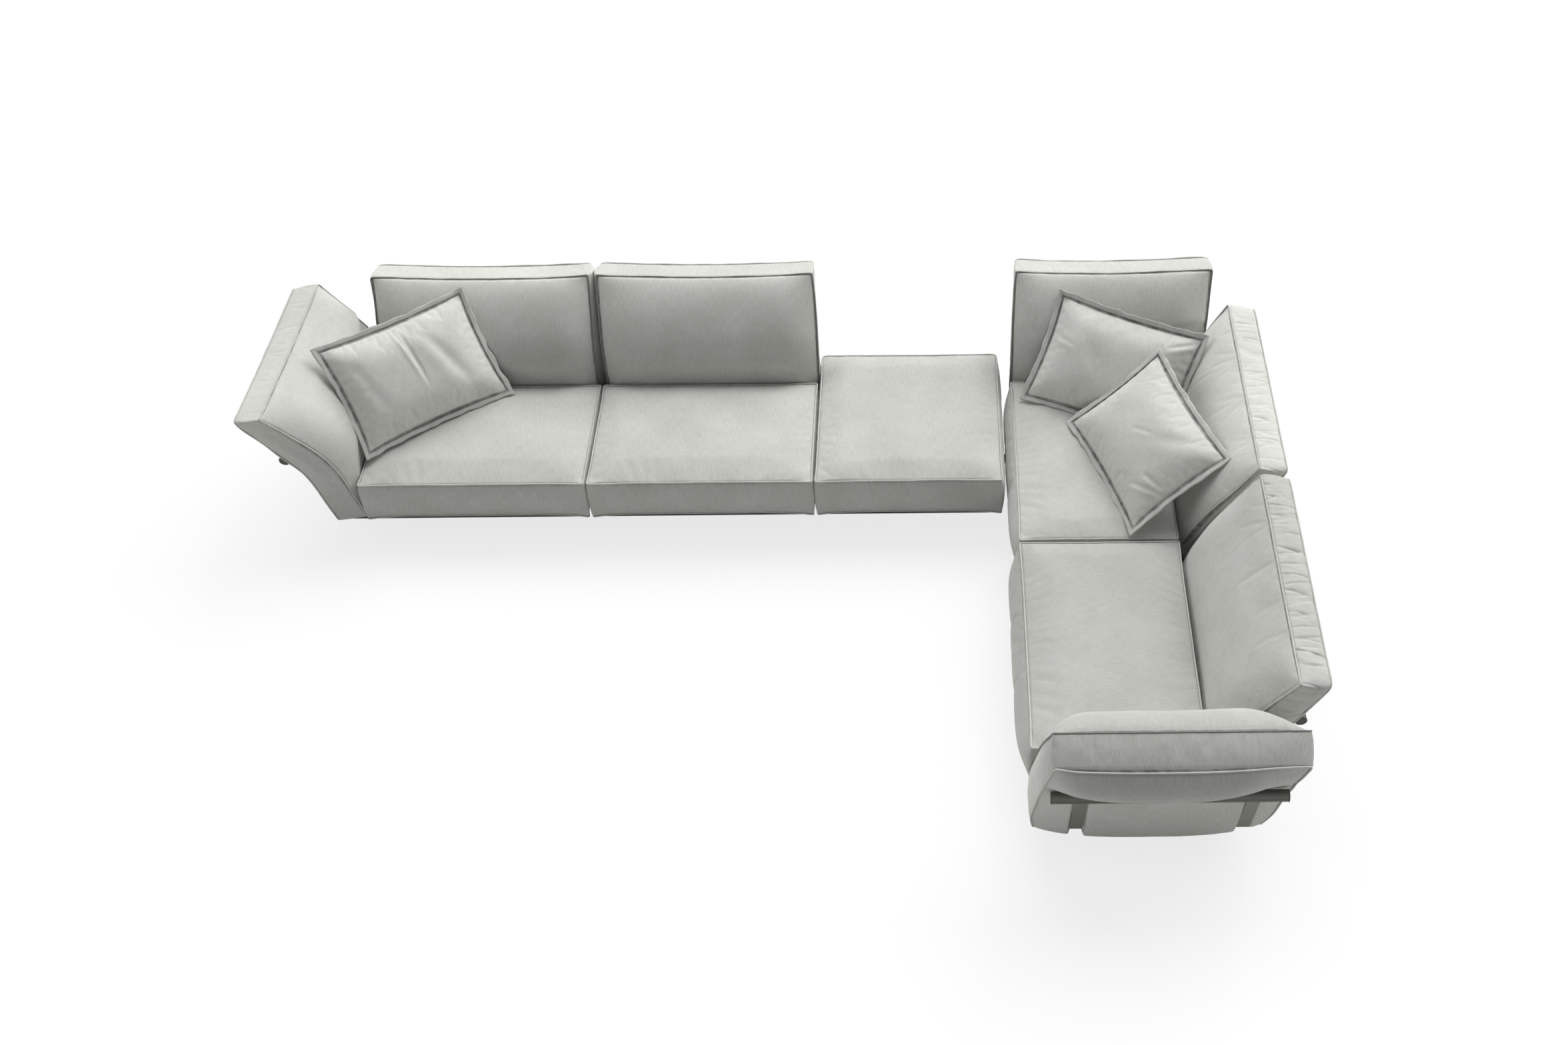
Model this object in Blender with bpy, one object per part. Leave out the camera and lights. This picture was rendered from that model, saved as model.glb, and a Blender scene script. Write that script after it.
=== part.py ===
"""Modular corner sofa for outdoors, in metres, with +Z up.

Five seat modules stand on low slatted bases: a row of two seats and a pouf along X,
then a corner seat and an end seat that come forward along Y.  Seven pads make the
backs and the arms.  Each pad stands beside the seats and folds outwards over a tube,
which two flat uprights carry from the base.  Three pillows lean in the corners.
"""
import math
from collections import namedtuple

import bmesh
import bpy
from mathutils import Matrix, Vector
from mathutils.bvhtree import BVHTree

OBJECT_NAME = "outdoor_corner_sofa"

# Clearances
FIT = 0.0003
CUSHION_GAP = 0.003

# Seats, seen from above, and their height from underside to piping
ROW_SEAT_WIDTH = 1.077
SEAT_DEPTH = 0.713
POUF_WIDTH = 0.900
POUF_DEPTH = 0.925
RETURN_GAP = 0.049
RETURN_DEPTH = 0.740
CORNER_FORWARD = 0.390
END_LENGTH = 1.176
SEAT_THICKNESS = 0.219
SEAT_CROWN = 0.027
SEAT_DRAW_IN = 0.006
FRONT_BELLY = 0.008
RETURN_BELLY = 0.052
SEAT_FOOT_ROUND = 0.014
SEAT_ROUND_HEIGHT = 0.055

# Pads: a leaning lower part, a bend and an upper part that leans further out
PAD_BEND_START = 0.250
PAD_BEND_LENGTH = 0.170
PAD_LOW_CROWN = 0.050
PAD_HIGH_CROWN = 0.085
PAD_END_DRAW_IN = 0.012
PAD_END_BELLY = 0.006
PAD_FOOT_ROUND = 0.030
PAD_ROUND_HEIGHT = 0.145
FACE_SPREAD_START = 0.240
FACE_SPREAD_LENGTH = 0.210

# Tube behind each pad and its two uprights
BAR_RADIUS = 0.025
BAR_END_INSET = 0.035
BAR_PRESS = 0.004
UPRIGHT_WIDTH = 0.055
UPRIGHT_THICKNESS = 0.008
UPRIGHT_END_INSET = 0.120
UPRIGHT_BAR_INSET = 0.013
GROOVE_DEPTH = 0.060
FLANGE_HEIGHT = 0.034

# Bases
LEG_LENGTH = 0.090
LEG_TOP_SIZE = 0.045
LEG_FOOT_SIZE = 0.036
LEG_SETBACK = 0.110
RAIL_HEIGHT = 0.040
RAIL_WIDTH = 0.030
CROSS_RAIL_COUNT = 2
DECK_THICKNESS = 0.010
DECK_MARGIN = 0.040
SLAT_WIDTH = 0.070
SLOT_WIDTH = 0.050
BASE_INSET = 0.060
BASE_UNDER_PAD = 0.100
BASE_UNDER_RETURN_PAD = 0.140
BASE_UNDER_FRONT_ARM = 0.160
LINK_WIDTH = 0.060
LINK_THICKNESS = 0.005

# Pillows
PILLOW_WIDTH = 0.790
PILLOW_HEIGHT = 0.580
PILLOW_FRONT_PUFF = 0.080
PILLOW_BACK_PUFF = 0.045
PILLOW_FLANGE = 0.028
PILLOW_EDGE = 0.003
PILLOW_DRAW_IN = 0.016

# Round pieces
BAR_SIDES = 16

# Heights above the floor
RAIL_BOTTOM = LEG_LENGTH
DECK_BOTTOM = RAIL_BOTTOM + RAIL_HEIGHT + FIT
CUSHION_BOTTOM = DECK_BOTTOM + DECK_THICKNESS + FIT

# Lines of the plan, before the whole is centred
ROW_LEFT = -2 * ROW_SEAT_WIDTH
RETURN_LEFT = POUF_WIDTH + RETURN_GAP
RETURN_RIGHT = RETURN_LEFT + RETURN_DEPTH
END_REAR = -CORNER_FORWARD
END_FRONT = END_REAR - END_LENGTH

# name: left, right, front and rear lines, and what each side meets there
MODULES = {
    "left": ((ROW_LEFT, -ROW_SEAT_WIDTH, 0.0, SEAT_DEPTH), ("pad", "seat", "open", "pad")),
    "middle": ((-ROW_SEAT_WIDTH, 0.0, 0.0, SEAT_DEPTH), ("seat", "seat", "open", "pad")),
    "pouf": ((0.0, POUF_WIDTH, 0.0, POUF_DEPTH), ("seat", "open", "open", "open")),
    "corner": ((RETURN_LEFT, RETURN_RIGHT, END_REAR, SEAT_DEPTH), ("gap", "pad", "seat", "pad")),
    "end": ((RETURN_LEFT, RETURN_RIGHT, END_FRONT, END_REAR), ("free", "pad", "pad", "seat")),
}

# Side of the plan: a point on the pads' inner plane, the way along it and the way out
SIDES = {
    "rear": (Vector((0, SEAT_DEPTH, 0)), Vector((1, 0, 0)), Vector((0, 1, 0))),
    "left": (Vector((ROW_LEFT, 0, 0)), Vector((0, 1, 0)), Vector((-1, 0, 0))),
    "right": (Vector((RETURN_RIGHT, 0, 0)), Vector((0, -1, 0)), Vector((1, 0, 0))),
    "front": (Vector((0, END_FRONT, 0)), Vector((-1, 0, 0)), Vector((0, -1, 0))),
}
BASE_REACH = {
    "rear": BASE_UNDER_PAD,
    "left": BASE_UNDER_PAD,
    "right": BASE_UNDER_RETURN_PAD,
    "front": BASE_UNDER_FRONT_ARM,
}

# Height along the pad, its middle line's distance from the seats at the foot, both leans in
# degrees, both thicknesses, the crown of the face and its fullness, how far the top face is
# skewed, and the tube's place along and out from the middle line
PadShape = namedtuple(
    "PadShape",
    "height foot lower_lean upper_lean foot_thickness top_thickness"
    " crown fullness skew bar_along bar_offset",
)
ROW_PAD = PadShape(0.732, 0.064, 14, 37, 0.145, 0.110, 0.078, 0.6, 0.030, 0.459, 0.100)
PAD_SHAPES = {
    "rear": ROW_PAD,
    "left": ROW_PAD,
    "right": PadShape(0.710, 0.078, 21, 28, 0.170, 0.120, 0.078, 0.6, 0.022, 0.459, 0.112),
    "front": PadShape(0.680, 0.107, 15, 22, 0.215, 0.135, 0.150, 0.4, 0.012, 0.430, 0.122),
}

# name: side, both ends along that side at the foot, how far each end has moved at the top,
# and how far out the top of each end is pushed
PADS = {
    "back_cushion_left": ("rear", ROW_LEFT + 0.005, -ROW_SEAT_WIDTH - 0.002, -0.054, -0.046, 0, 0),
    "back_cushion_middle": ("rear", -ROW_SEAT_WIDTH + 0.002, 0.006, -0.018, -0.026, 0, 0),
    "back_cushion_corner_rear": ("rear", RETURN_LEFT + 0.006, RETURN_RIGHT + 0.210, 0.024, 0.060, 0, 0),
    "back_cushion_corner_side": ("right", 0.006 - SEAT_DEPTH, CORNER_FORWARD - 0.002, -0.058, -0.012, 0, 0),
    "back_cushion_end": ("right", CORNER_FORWARD + 0.002, -END_FRONT - 0.006, 0.014, 0.030, 0, 0),
    "arm_cushion_left": ("left", 0.002, SEAT_DEPTH + 0.275, -0.002, 0.002, 0.010, -0.030),
    "arm_cushion_front": ("front", -RETURN_RIGHT - 0.236, -RETURN_LEFT + 0.019, -0.080, -0.080, 0, 0),
}

# name: seat under it, middle of its lower edge, turn about Z, lean from the floor, and roll
PILLOWS = {
    "pillow_left": ("left", (ROW_LEFT + 0.343, SEAT_DEPTH - 0.323), 38.6, 46.0, -1.4),
    "pillow_corner_rear": ("corner", (RETURN_RIGHT - 0.333, SEAT_DEPTH - 0.313), -27.3, 39.7, -0.6),
    "pillow_corner_side": ("corner", (RETURN_RIGHT - 0.374, SEAT_DEPTH - 0.733), -69.3, 36.3, -2.4),
}

FABRIC = ((0.56, 0.56, 0.54), 0.9, 0.0)
FABRIC_PILLOW = ((0.54, 0.54, 0.52), 0.9, 0.0)
PAINT_GREY = ((0.14, 0.14, 0.13), 0.45, 0.0)
PAINT_WARM_GREY = ((0.24, 0.24, 0.22), 0.5, 0.0)
PAINT_DARK = ((0.06, 0.06, 0.06), 0.5, 0.0)


def clear_scene():
    for thing in list(bpy.data.objects):
        bpy.data.objects.remove(thing)


def new_collection(name):
    group = bpy.data.collections.new(name)
    bpy.context.scene.collection.children.link(group)
    return group


def finish(name, colour, roughness, metallic):
    """Make one Principled material for one sub-part."""
    material = bpy.data.materials.new(name + "_finish")
    material.use_nodes = True
    shader = material.node_tree.nodes["Principled BSDF"]
    shader.inputs["Base Color"].default_value = (*colour, 1.0)
    shader.inputs["Roughness"].default_value = roughness
    shader.inputs["Metallic"].default_value = metallic
    material.diffuse_color = (*colour, 1.0)
    return material


def add_mesh(bm, name, look, group, place=None):
    """Turn a bmesh into a named object with its own material."""
    mesh = bpy.data.meshes.new(name)
    bm.to_mesh(mesh)
    bm.free()
    thing = bpy.data.objects.new(name, mesh)
    group.objects.link(thing)
    mesh.materials.append(finish(name, *look))
    if place is not None:
        thing.matrix_world = place
    return thing


def lined_block(x_lines, y_lines, z_lines):
    """Cube from -1 to 1 with an edge loop at every given line."""
    bm = bmesh.new()
    bmesh.ops.create_cube(bm, size=2.0)
    for axis, lines in enumerate((x_lines, y_lines, z_lines)):
        normal = Vector((0, 0, 0))
        normal[axis] = 1.0
        for line in lines:
            everything = bm.verts[:] + bm.edges[:] + bm.faces[:]
            bmesh.ops.bisect_plane(bm, geom=everything, plane_co=normal * line, plane_no=normal)
    return bm


def add_box(bm, low, high):
    """Add one box between two corners."""
    size = Vector(high) - Vector(low)
    middle = (Vector(high) + Vector(low)) / 2
    place = Matrix.Translation(middle) @ Matrix.Diagonal((*size, 1.0))
    bmesh.ops.create_cube(bm, size=1.0, matrix=place)


def add_round(bm, sides, radius, length, place, top_radius=None):
    """Add one cylinder or cone frustum along the local Z of place."""
    bmesh.ops.create_cone(
        bm,
        cap_ends=True,
        segments=sides,
        radius1=radius,
        radius2=radius if top_radius is None else top_radius,
        depth=length,
        matrix=place,
    )


def flat_outline(name, outlines, thickness, look, group, place):
    """Extrude flat outlines; an outline inside another one is a hole."""
    curve = bpy.data.curves.new(name, "CURVE")
    curve.dimensions = "2D"
    curve.fill_mode = "BOTH"
    curve.extrude = thickness / 2
    for outline in outlines:
        spline = curve.splines.new("POLY")
        spline.points.add(len(outline) - 1)
        for point, (x, y) in zip(spline.points, outline):
            point.co = (x, y, 0.0, 1.0)
        spline.use_cyclic_u = True
    thing = bpy.data.objects.new(name, curve)
    group.objects.link(thing)
    curve.materials.append(finish(name, *look))
    thing.matrix_world = place
    return thing


def rectangle(left, right, front, rear):
    return [(left, front), (right, front), (right, rear), (left, rear)]


def combine(thing, guide, operation):
    """Cut a guide out of a piece, or join it on, and keep the guide as a wire."""
    modifier = thing.modifiers.new(guide.name, "BOOLEAN")
    modifier.operation = operation
    modifier.solver = "EXACT"
    modifier.object = guide
    guide.hide_render = True
    guide.display_type = "WIRE"


def bulge(position, power=3.0):
    """One in the middle of a span from -1 to 1, falling to nothing at its ends."""
    return max(0.0, 1.0 - abs(position) ** power)


# Seats


def side_swell(height, belly):
    """How far a seat's side stands out at a height above its underside."""
    swell = belly * math.sin(math.pi * min(1.0, height / SEAT_THICKNESS))
    rounding = max(0.0, 1.0 - height / SEAT_ROUND_HEIGHT)
    return swell - SEAT_FOOT_ROUND * rounding ** 2


def side_belly(kind):
    beside_pouf = RETURN_GAP - FRONT_BELLY - 2 * CUSHION_GAP
    bellies = {"open": FRONT_BELLY, "gap": beside_pouf, "free": RETURN_BELLY}
    return bellies.get(kind, 0.0)


def seat_cushion(name, lines, kinds, group):
    """Boxed cushion with a crowned top, drawn-in piping and a rounded underside."""
    left, right, front, rear = lines
    half = Vector(((right - left) / 2 - CUSHION_GAP / 2, (rear - front) / 2 - CUSHION_GAP / 2))
    middle = Vector(((left + right) / 2, (front + rear) / 2))
    across = (-0.88, -0.6, -0.2, 0.2, 0.6, 0.88)
    bm = lined_block(across, across, (-0.54, 0.2))
    for vert in bm.verts:
        a, b, c = vert.co
        height = (c + 1) / 2 * SEAT_THICKNESS
        draw = SEAT_DRAW_IN * abs(c) ** 2
        side_x = kinds[0] if a < 0 else kinds[1]
        side_y = kinds[2] if b < 0 else kinds[3]
        grow_x = (side_swell(height, side_belly(side_x)) - draw) * bulge(b, 8) * a ** 3
        grow_y = (side_swell(height, side_belly(side_y)) - draw) * bulge(a, 8) * b ** 3
        crown = SEAT_CROWN * bulge(a) * bulge(b) if c > 0.99 else 0.0
        x = middle.x + a * half.x + grow_x
        y = middle.y + b * half.y + grow_y
        vert.co = (x, y, height + crown)
    return add_mesh(bm, name, FABRIC, group, Matrix.Translation((0, 0, CUSHION_BOTTOM)))


# Pads


def pad_line(shape, along):
    """Middle line of a pad: distance out, height, and lean at a length from its foot."""
    lower = math.radians(shape.lower_lean)
    upper = math.radians(shape.upper_lean)
    straight = min(along, PAD_BEND_START)
    out = shape.foot + straight * math.sin(lower)
    high = straight * math.cos(lower)
    if along <= PAD_BEND_START:
        return out, high, lower
    rate = (upper - lower) / PAD_BEND_LENGTH
    bent = min(along - PAD_BEND_START, PAD_BEND_LENGTH)
    lean = lower + rate * bent
    out += (math.cos(lower) - math.cos(lean)) / rate
    high += (math.sin(lean) - math.sin(lower)) / rate
    rest = max(0.0, along - PAD_BEND_START - PAD_BEND_LENGTH)
    return out + rest * math.sin(lean), high + rest * math.cos(lean), lean


def pad_offset(shape, along, offset):
    """Point at a distance outwards from the pad's middle line."""
    out, high, lean = pad_line(shape, along)
    return out + offset * math.cos(lean), high - offset * math.sin(lean)


def bar_middle(shape):
    return pad_offset(shape, shape.bar_along, shape.bar_offset)


def pad_half_thickness(shape, along):
    share = along / shape.height
    return (shape.foot_thickness + (shape.top_thickness - shape.foot_thickness) * share) / 2


def pad_back_crown(shape, along):
    """Crown of the outer face: one lobe under the tube and one above it."""
    crease = shape.bar_offset - BAR_RADIUS + BAR_PRESS - pad_half_thickness(shape, shape.bar_along)
    if along <= shape.bar_along:
        share = (along / shape.bar_along) ** 3
        return PAD_LOW_CROWN * (1 - share) + crease * share
    share = min(1.0, (along - shape.bar_along) / (shape.height - shape.bar_along))
    return crease * (1 - share) + PAD_HIGH_CROWN * math.sin(math.pi * share) ** 0.7


def pad_face_crown(shape, share):
    return shape.crown * max(0.0, math.sin(math.pi * share)) ** shape.fullness


def pad_frame(side):
    """Axes of a side: along the pad, outwards and up, from the cushions' underside."""
    origin, way_along, way_out = SIDES[side]
    frame = Matrix((way_along, way_out, Vector((0, 0, 1)))).transposed().to_4x4()
    frame.translation = origin + Vector((0, 0, CUSHION_BOTTOM))
    return frame


def pad_length_lines(shape):
    """Edge loops up the pad, with one at the tube."""
    low_loops = 7
    high_loops = 5
    lines = [shape.bar_along * k / low_loops for k in range(1, low_loops + 1)]
    rest = shape.height - shape.bar_along
    lines += [shape.bar_along + rest * k / high_loops for k in range(1, high_loops)]
    return [2 * line / shape.height - 1 for line in lines]


def face_span(name, start, end, along):
    """Stretch of the inner face that swells, clear of a neighbour that ends against it."""
    spread = min(1.0, max(0.0, (along - FACE_SPREAD_START) / FACE_SPREAD_LENGTH))
    if name == "arm_cushion_left":
        return start, min(end, SEAT_DEPTH)
    if name == "arm_cushion_front":
        clear = max(start, -RETURN_RIGHT)
        return clear + (start - clear) * spread, end
    if name == "back_cushion_corner_rear":
        clear = min(end, RETURN_RIGHT)
        return start, clear + (end - clear) * spread
    return start, end


def pad_cushion(name, side, span, group):
    """Pad with a crowned face, a two-lobed back, and ends that draw in between the corners."""
    start, end, start_shift, end_shift, start_push, end_push = span
    shape = PAD_SHAPES[side]
    bm = lined_block((-0.86, -0.62, -0.25, 0.25, 0.62, 0.86), (0.0,), pad_length_lines(shape))
    for vert in bm.verts:
        a, w, c = vert.co
        share = (c + 1) / 2
        along = share * shape.height + w * shape.skew * share ** 6
        place = (a + 1) / 2
        foot_share = max(0.0, 1 - share * shape.height / PAD_ROUND_HEIGHT)
        low_end = start + start_shift * share
        high_end = end + end_shift * share
        x = low_end + (high_end - low_end) * place
        pull = PAD_END_DRAW_IN * bulge(c, 2) + PAD_FOOT_ROUND * foot_share ** 2
        pull -= PAD_END_BELLY * (1 - abs(w)) * bulge(c, 2)
        x -= pull * a ** 5
        swell_from, swell_to = face_span(name, start, end, along)
        face_place = 2 * (x - swell_from) / (swell_to - swell_from) - 1
        offset = 0.0
        if w < 0:
            offset = -pad_half_thickness(shape, along) - pad_face_crown(shape, share) * bulge(face_place)
        if w > 0:
            offset = pad_half_thickness(shape, along) + pad_back_crown(shape, along) * bulge(a)
        out, high = pad_offset(shape, along, offset)
        out += (start_push + (end_push - start_push) * place) * share ** 2
        high = high if c > -0.99 else 0.0
        vert.co = (x, max(out, CUSHION_GAP / 2), high)
    bmesh.ops.triangulate(bm, faces=bm.faces)
    return add_mesh(bm, name, FABRIC, group, pad_frame(side))


def bar_ends(side, span):
    """Ends of the tube, set in from the pad's ends at the tube's height."""
    start, end, start_shift, end_shift = span[:4]
    share = PAD_SHAPES[side].bar_along / PAD_SHAPES[side].height
    return start + start_shift * share + BAR_END_INSET, end + end_shift * share - BAR_END_INSET


def lying_along(x, out, high):
    """Local place with its Z along the pad."""
    return Matrix.Translation((x, out, high)) @ Matrix.Rotation(math.pi / 2, 4, "Y")


def support_bar(name, side, ends, group):
    place = lying_along(sum(ends) / 2, *bar_middle(PAD_SHAPES[side]))
    bm = bmesh.new()
    add_round(bm, BAR_SIDES, BAR_RADIUS, ends[1] - ends[0], place)
    bar = add_mesh(bm, name, PAINT_GREY, group, pad_frame(side))
    bar.data.shade_smooth()
    bar.data.set_sharp_from_angle(angle=math.radians(40))
    return bar


def upright_lines(shape):
    """Inner and outer line of an upright: a point on each and their common direction."""
    lean = math.radians(shape.lower_lean)
    way = Vector((math.sin(lean), math.cos(lean)))
    outwards = Vector((math.cos(lean), -math.sin(lean)))
    middle = Vector(bar_middle(shape)) - outwards * UPRIGHT_BAR_INSET
    half = outwards * UPRIGHT_THICKNESS / 2
    return middle - half, middle + half, way


def upright_outline(shape, reach):
    """Side view of an upright: a flange on the rail, a foot under the pad, then the leaning post."""
    inner, outer, way = upright_lines(shape)
    nearest = max(0.0, UPRIGHT_BAR_INSET - UPRIGHT_THICKNESS / 2)
    stop = math.sqrt((BAR_RADIUS + FIT) ** 2 - nearest ** 2)
    foot_top = -FIT
    foot_bottom = foot_top - UPRIGHT_THICKNESS
    inner_foot = inner + way * (foot_top - inner.y) / way.y
    outer_foot = outer + way * (foot_bottom - outer.y) / way.y
    near = reach + FIT
    far = near + UPRIGHT_THICKNESS
    flange_bottom = DECK_BOTTOM - FIT - FLANGE_HEIGHT - CUSHION_BOTTOM
    return [
        (near, foot_top),
        tuple(inner_foot),
        tuple(inner - way * stop),
        tuple(outer - way * stop),
        tuple(outer_foot),
        (far, foot_bottom),
        (far, flange_bottom),
        (near, flange_bottom),
    ]


def upright_places(ends):
    return ends[0] + UPRIGHT_END_INSET, ends[1] - UPRIGHT_END_INSET


def standing_at(frame, x):
    """Place of an upright's outline: its X outwards, its Y up and its Z along the pad."""
    turned = Matrix(((0, 0, 1, x), (1, 0, 0, 0), (0, 1, 0, 0), (0, 0, 0, 1)))
    return frame @ turned


def press_pad(pad, name, side, ends, cutters):
    """Sink the tube and the uprights into the pad that they carry."""
    shape = PAD_SHAPES[side]
    frame = pad_frame(side)
    length = ends[1] - ends[0] + 4 * PAD_FOOT_ROUND
    radius = (BAR_RADIUS + FIT) / math.cos(math.pi / BAR_SIDES)
    bm = bmesh.new()
    add_round(bm, BAR_SIDES, radius, length, lying_along(sum(ends) / 2, *bar_middle(shape)))
    room = add_mesh(bm, name + "_tube_room", PAINT_GREY, cutters, frame)
    inner, outer, way = upright_lines(shape)
    outwards = (outer - inner).normalized()
    near = inner - outwards * FIT
    middle = near + outwards * GROOVE_DEPTH / 2 - way * shape.height / 2
    bm = bmesh.new()
    for x in upright_places(ends):
        size = (UPRIGHT_WIDTH + 2 * FIT, GROOVE_DEPTH, shape.height)
        lean = Matrix.Rotation(-math.radians(shape.lower_lean), 4, "X")
        place = Matrix.Translation((x, middle.x, middle.y)) @ lean @ Matrix.Diagonal((*size, 1.0))
        bmesh.ops.create_cube(bm, size=1.0, matrix=place)
    combine(room, add_mesh(bm, name + "_upright_room", PAINT_GREY, cutters, frame), "UNION")
    combine(pad, room, "DIFFERENCE")


# Bases


def base_lines(lines, kinds):
    """Outline of a base under its cushion and any pads beside it."""
    left, right, front, rear = lines
    reaches = [
        BASE_REACH[side] if kind == "pad" else -BASE_INSET
        for side, kind in zip(("left", "right", "front", "rear"), kinds)
    ]
    return left - reaches[0], right + reaches[1], front - reaches[2], rear + reaches[3]


def leg_places(base):
    left, right, front, rear = base
    return [
        Vector((x, y, 0))
        for x in (left + LEG_TOP_SIZE / 2, right - LEG_TOP_SIZE / 2)
        for y in (front + LEG_SETBACK, rear - LEG_SETBACK)
    ]


def base_frame(name, base, group, guides):
    """Welded ring of rails with cross rails and four tapered legs, as one piece."""
    left, right, front, rear = base
    rail_top = RAIL_BOTTOM + RAIL_HEIGHT
    bm = bmesh.new()
    add_box(bm, (left, front, RAIL_BOTTOM), (right, rear, rail_top))
    frame = add_mesh(bm, name, PAINT_DARK, group)

    bays = CROSS_RAIL_COUNT + 1
    bay = (right - left - (bays + 1) * RAIL_WIDTH) / bays
    bm = bmesh.new()
    for k in range(bays):
        near = left + RAIL_WIDTH + k * (bay + RAIL_WIDTH)
        low = (near, front + RAIL_WIDTH, RAIL_BOTTOM - RAIL_HEIGHT)
        add_box(bm, low, (near + bay, rear - RAIL_WIDTH, rail_top + RAIL_HEIGHT))
    combine(frame, add_mesh(bm, name + "_bays", PAINT_DARK, guides), "DIFFERENCE")

    bm = bmesh.new()
    turn = Matrix.Rotation(math.pi / 4, 4, "Z")
    corner = math.sqrt(0.5)
    length = LEG_LENGTH + RAIL_HEIGHT / 2
    for place in leg_places(base):
        middle = Matrix.Translation(place + Vector((0, 0, length / 2)))
        add_round(bm, 4, LEG_FOOT_SIZE * corner, length, middle @ turn, LEG_TOP_SIZE * corner)
    combine(frame, add_mesh(bm, name + "_legs", PAINT_DARK, guides), "UNION")
    return frame


def slat_deck(name, base, group):
    """Flat deck whose slots leave slats across the base."""
    left, right, front, rear = base
    open_depth = rear - front - 2 * DECK_MARGIN
    slots = max(1, round((open_depth + SLAT_WIDTH) / (SLAT_WIDTH + SLOT_WIDTH)))
    slat = (open_depth - slots * SLOT_WIDTH) / max(1, slots - 1)
    outlines = [rectangle(left, right, front, rear)]
    for k in range(slots):
        near = front + DECK_MARGIN + k * (SLOT_WIDTH + slat)
        outlines.append(
            rectangle(left + DECK_MARGIN, right - DECK_MARGIN, near, near + SLOT_WIDTH)
        )
    place = Matrix.Translation((0, 0, DECK_BOTTOM + DECK_THICKNESS / 2))
    return flat_outline(name, outlines, DECK_THICKNESS, PAINT_DARK, group, place)


def link_plate(one, two, bases, group):
    """Plate under the rails that holds two neighbouring modules together."""
    bm = bmesh.new()
    top = RAIL_BOTTOM - FIT
    bottom = top - LINK_THICKNESS
    if one == "corner":
        x = (max(bases[one][0], bases[two][0]) + min(bases[one][1], bases[two][1])) / 2
        low = (x - LINK_WIDTH / 2, bases[two][3] - RAIL_WIDTH, bottom)
        high = (x + LINK_WIDTH / 2, bases[one][2] + RAIL_WIDTH, top)
    else:
        y = (max(bases[one][2], bases[two][2]) + min(bases[one][3], bases[two][3])) / 2
        low = (bases[one][1] - RAIL_WIDTH, y - LINK_WIDTH / 2, bottom)
        high = (bases[two][0] + RAIL_WIDTH, y + LINK_WIDTH / 2, top)
    add_box(bm, low, high)
    return add_mesh(bm, "link_plate_" + one + "_" + two, PAINT_DARK, group)


# Pillows


def pillow(name, group):
    """Flanged pillow, thickest in the middle, lying flat with its lower edge on the local X axis."""
    rim_x = 1 - 2 * PILLOW_FLANGE / PILLOW_WIDTH
    rim_y = 1 - 2 * PILLOW_FLANGE / PILLOW_HEIGHT
    bm = lined_block(
        (-rim_x, -0.62, -0.22, 0.22, 0.62, rim_x),
        (-rim_y, -0.55, 0.0, 0.55, rim_y),
        (),
    )
    for vert in bm.verts:
        a, b, c = vert.co
        puff = (bulge(a / rim_x, 2.4) * bulge(b / rim_y, 2.4)) ** 0.62
        x = a * (PILLOW_WIDTH / 2 - PILLOW_DRAW_IN * bulge(b, 2) * abs(a))
        y = b * (PILLOW_HEIGHT / 2 - PILLOW_DRAW_IN * bulge(a, 2) * abs(b))
        puff *= PILLOW_FRONT_PUFF if c > 0 else PILLOW_BACK_PUFF
        vert.co = (x, y + PILLOW_HEIGHT / 2, c * (PILLOW_EDGE + puff))
    return add_mesh(bm, name, FABRIC_PILLOW, group)


def world_mesh(thing):
    """A piece's evaluated mesh in world space."""
    bpy.context.view_layer.update()
    mesh = bpy.data.meshes.new_from_object(thing.evaluated_get(bpy.context.evaluated_depsgraph_get()))
    bm = bmesh.new()
    bm.from_mesh(mesh)
    bm.transform(thing.matrix_world)
    bpy.data.meshes.remove(mesh)
    return bm


def world_tree(thing):
    """Search tree of a piece's faces in world space."""
    bm = world_mesh(thing)
    tree = BVHTree.FromBMesh(bm)
    bm.free()
    return tree


def move_until_touching(thing, way, reach, carriers):
    """Move a piece along a direction until it is a fit clearance short of the nearest carrier."""
    start = thing.matrix_world.copy()
    steps = 60

    def touches(distance):
        thing.matrix_world = Matrix.Translation(way * distance) @ start
        tree = world_tree(thing)
        return any(tree.overlap(carrier) for carrier in carriers)

    clear = 0.0
    for k in range(1, steps + 1):
        tried = reach * k / steps
        if touches(tried):
            while tried - clear > FIT / 4:
                half = (clear + tried) / 2
                if touches(half):
                    tried = half
                else:
                    clear = half
            break
        clear = tried
    thing.matrix_world = Matrix.Translation(way * (clear - FIT)) @ start


def rest_pillow(thing, place, turn, lean, roll, carriers):
    """Lean a pillow back, set it down on its seat, and slide it back against the pads."""
    upright = Matrix.Rotation(math.radians(turn), 4, "Z") @ Matrix.Rotation(math.radians(lean), 4, "X")
    back = Matrix.Rotation(math.radians(turn), 3, "Z") @ Vector((0, 1, 0))
    drop_height = SEAT_CROWN + 0.120
    away = 0.160
    lifted = 0.001
    high = Vector((place[0], place[1], CUSHION_BOTTOM + SEAT_THICKNESS + drop_height)) - back * away
    thing.matrix_world = Matrix.Translation(high) @ upright @ Matrix.Rotation(math.radians(roll), 4, "Z")
    down = Vector((0, 0, -1))
    move_until_touching(thing, down, 2 * drop_height, carriers)
    thing.matrix_world = Matrix.Translation((0, 0, lifted)) @ thing.matrix_world
    move_until_touching(thing, back, 2 * away, carriers)
    move_until_touching(thing, down, 2 * drop_height, carriers)


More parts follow.
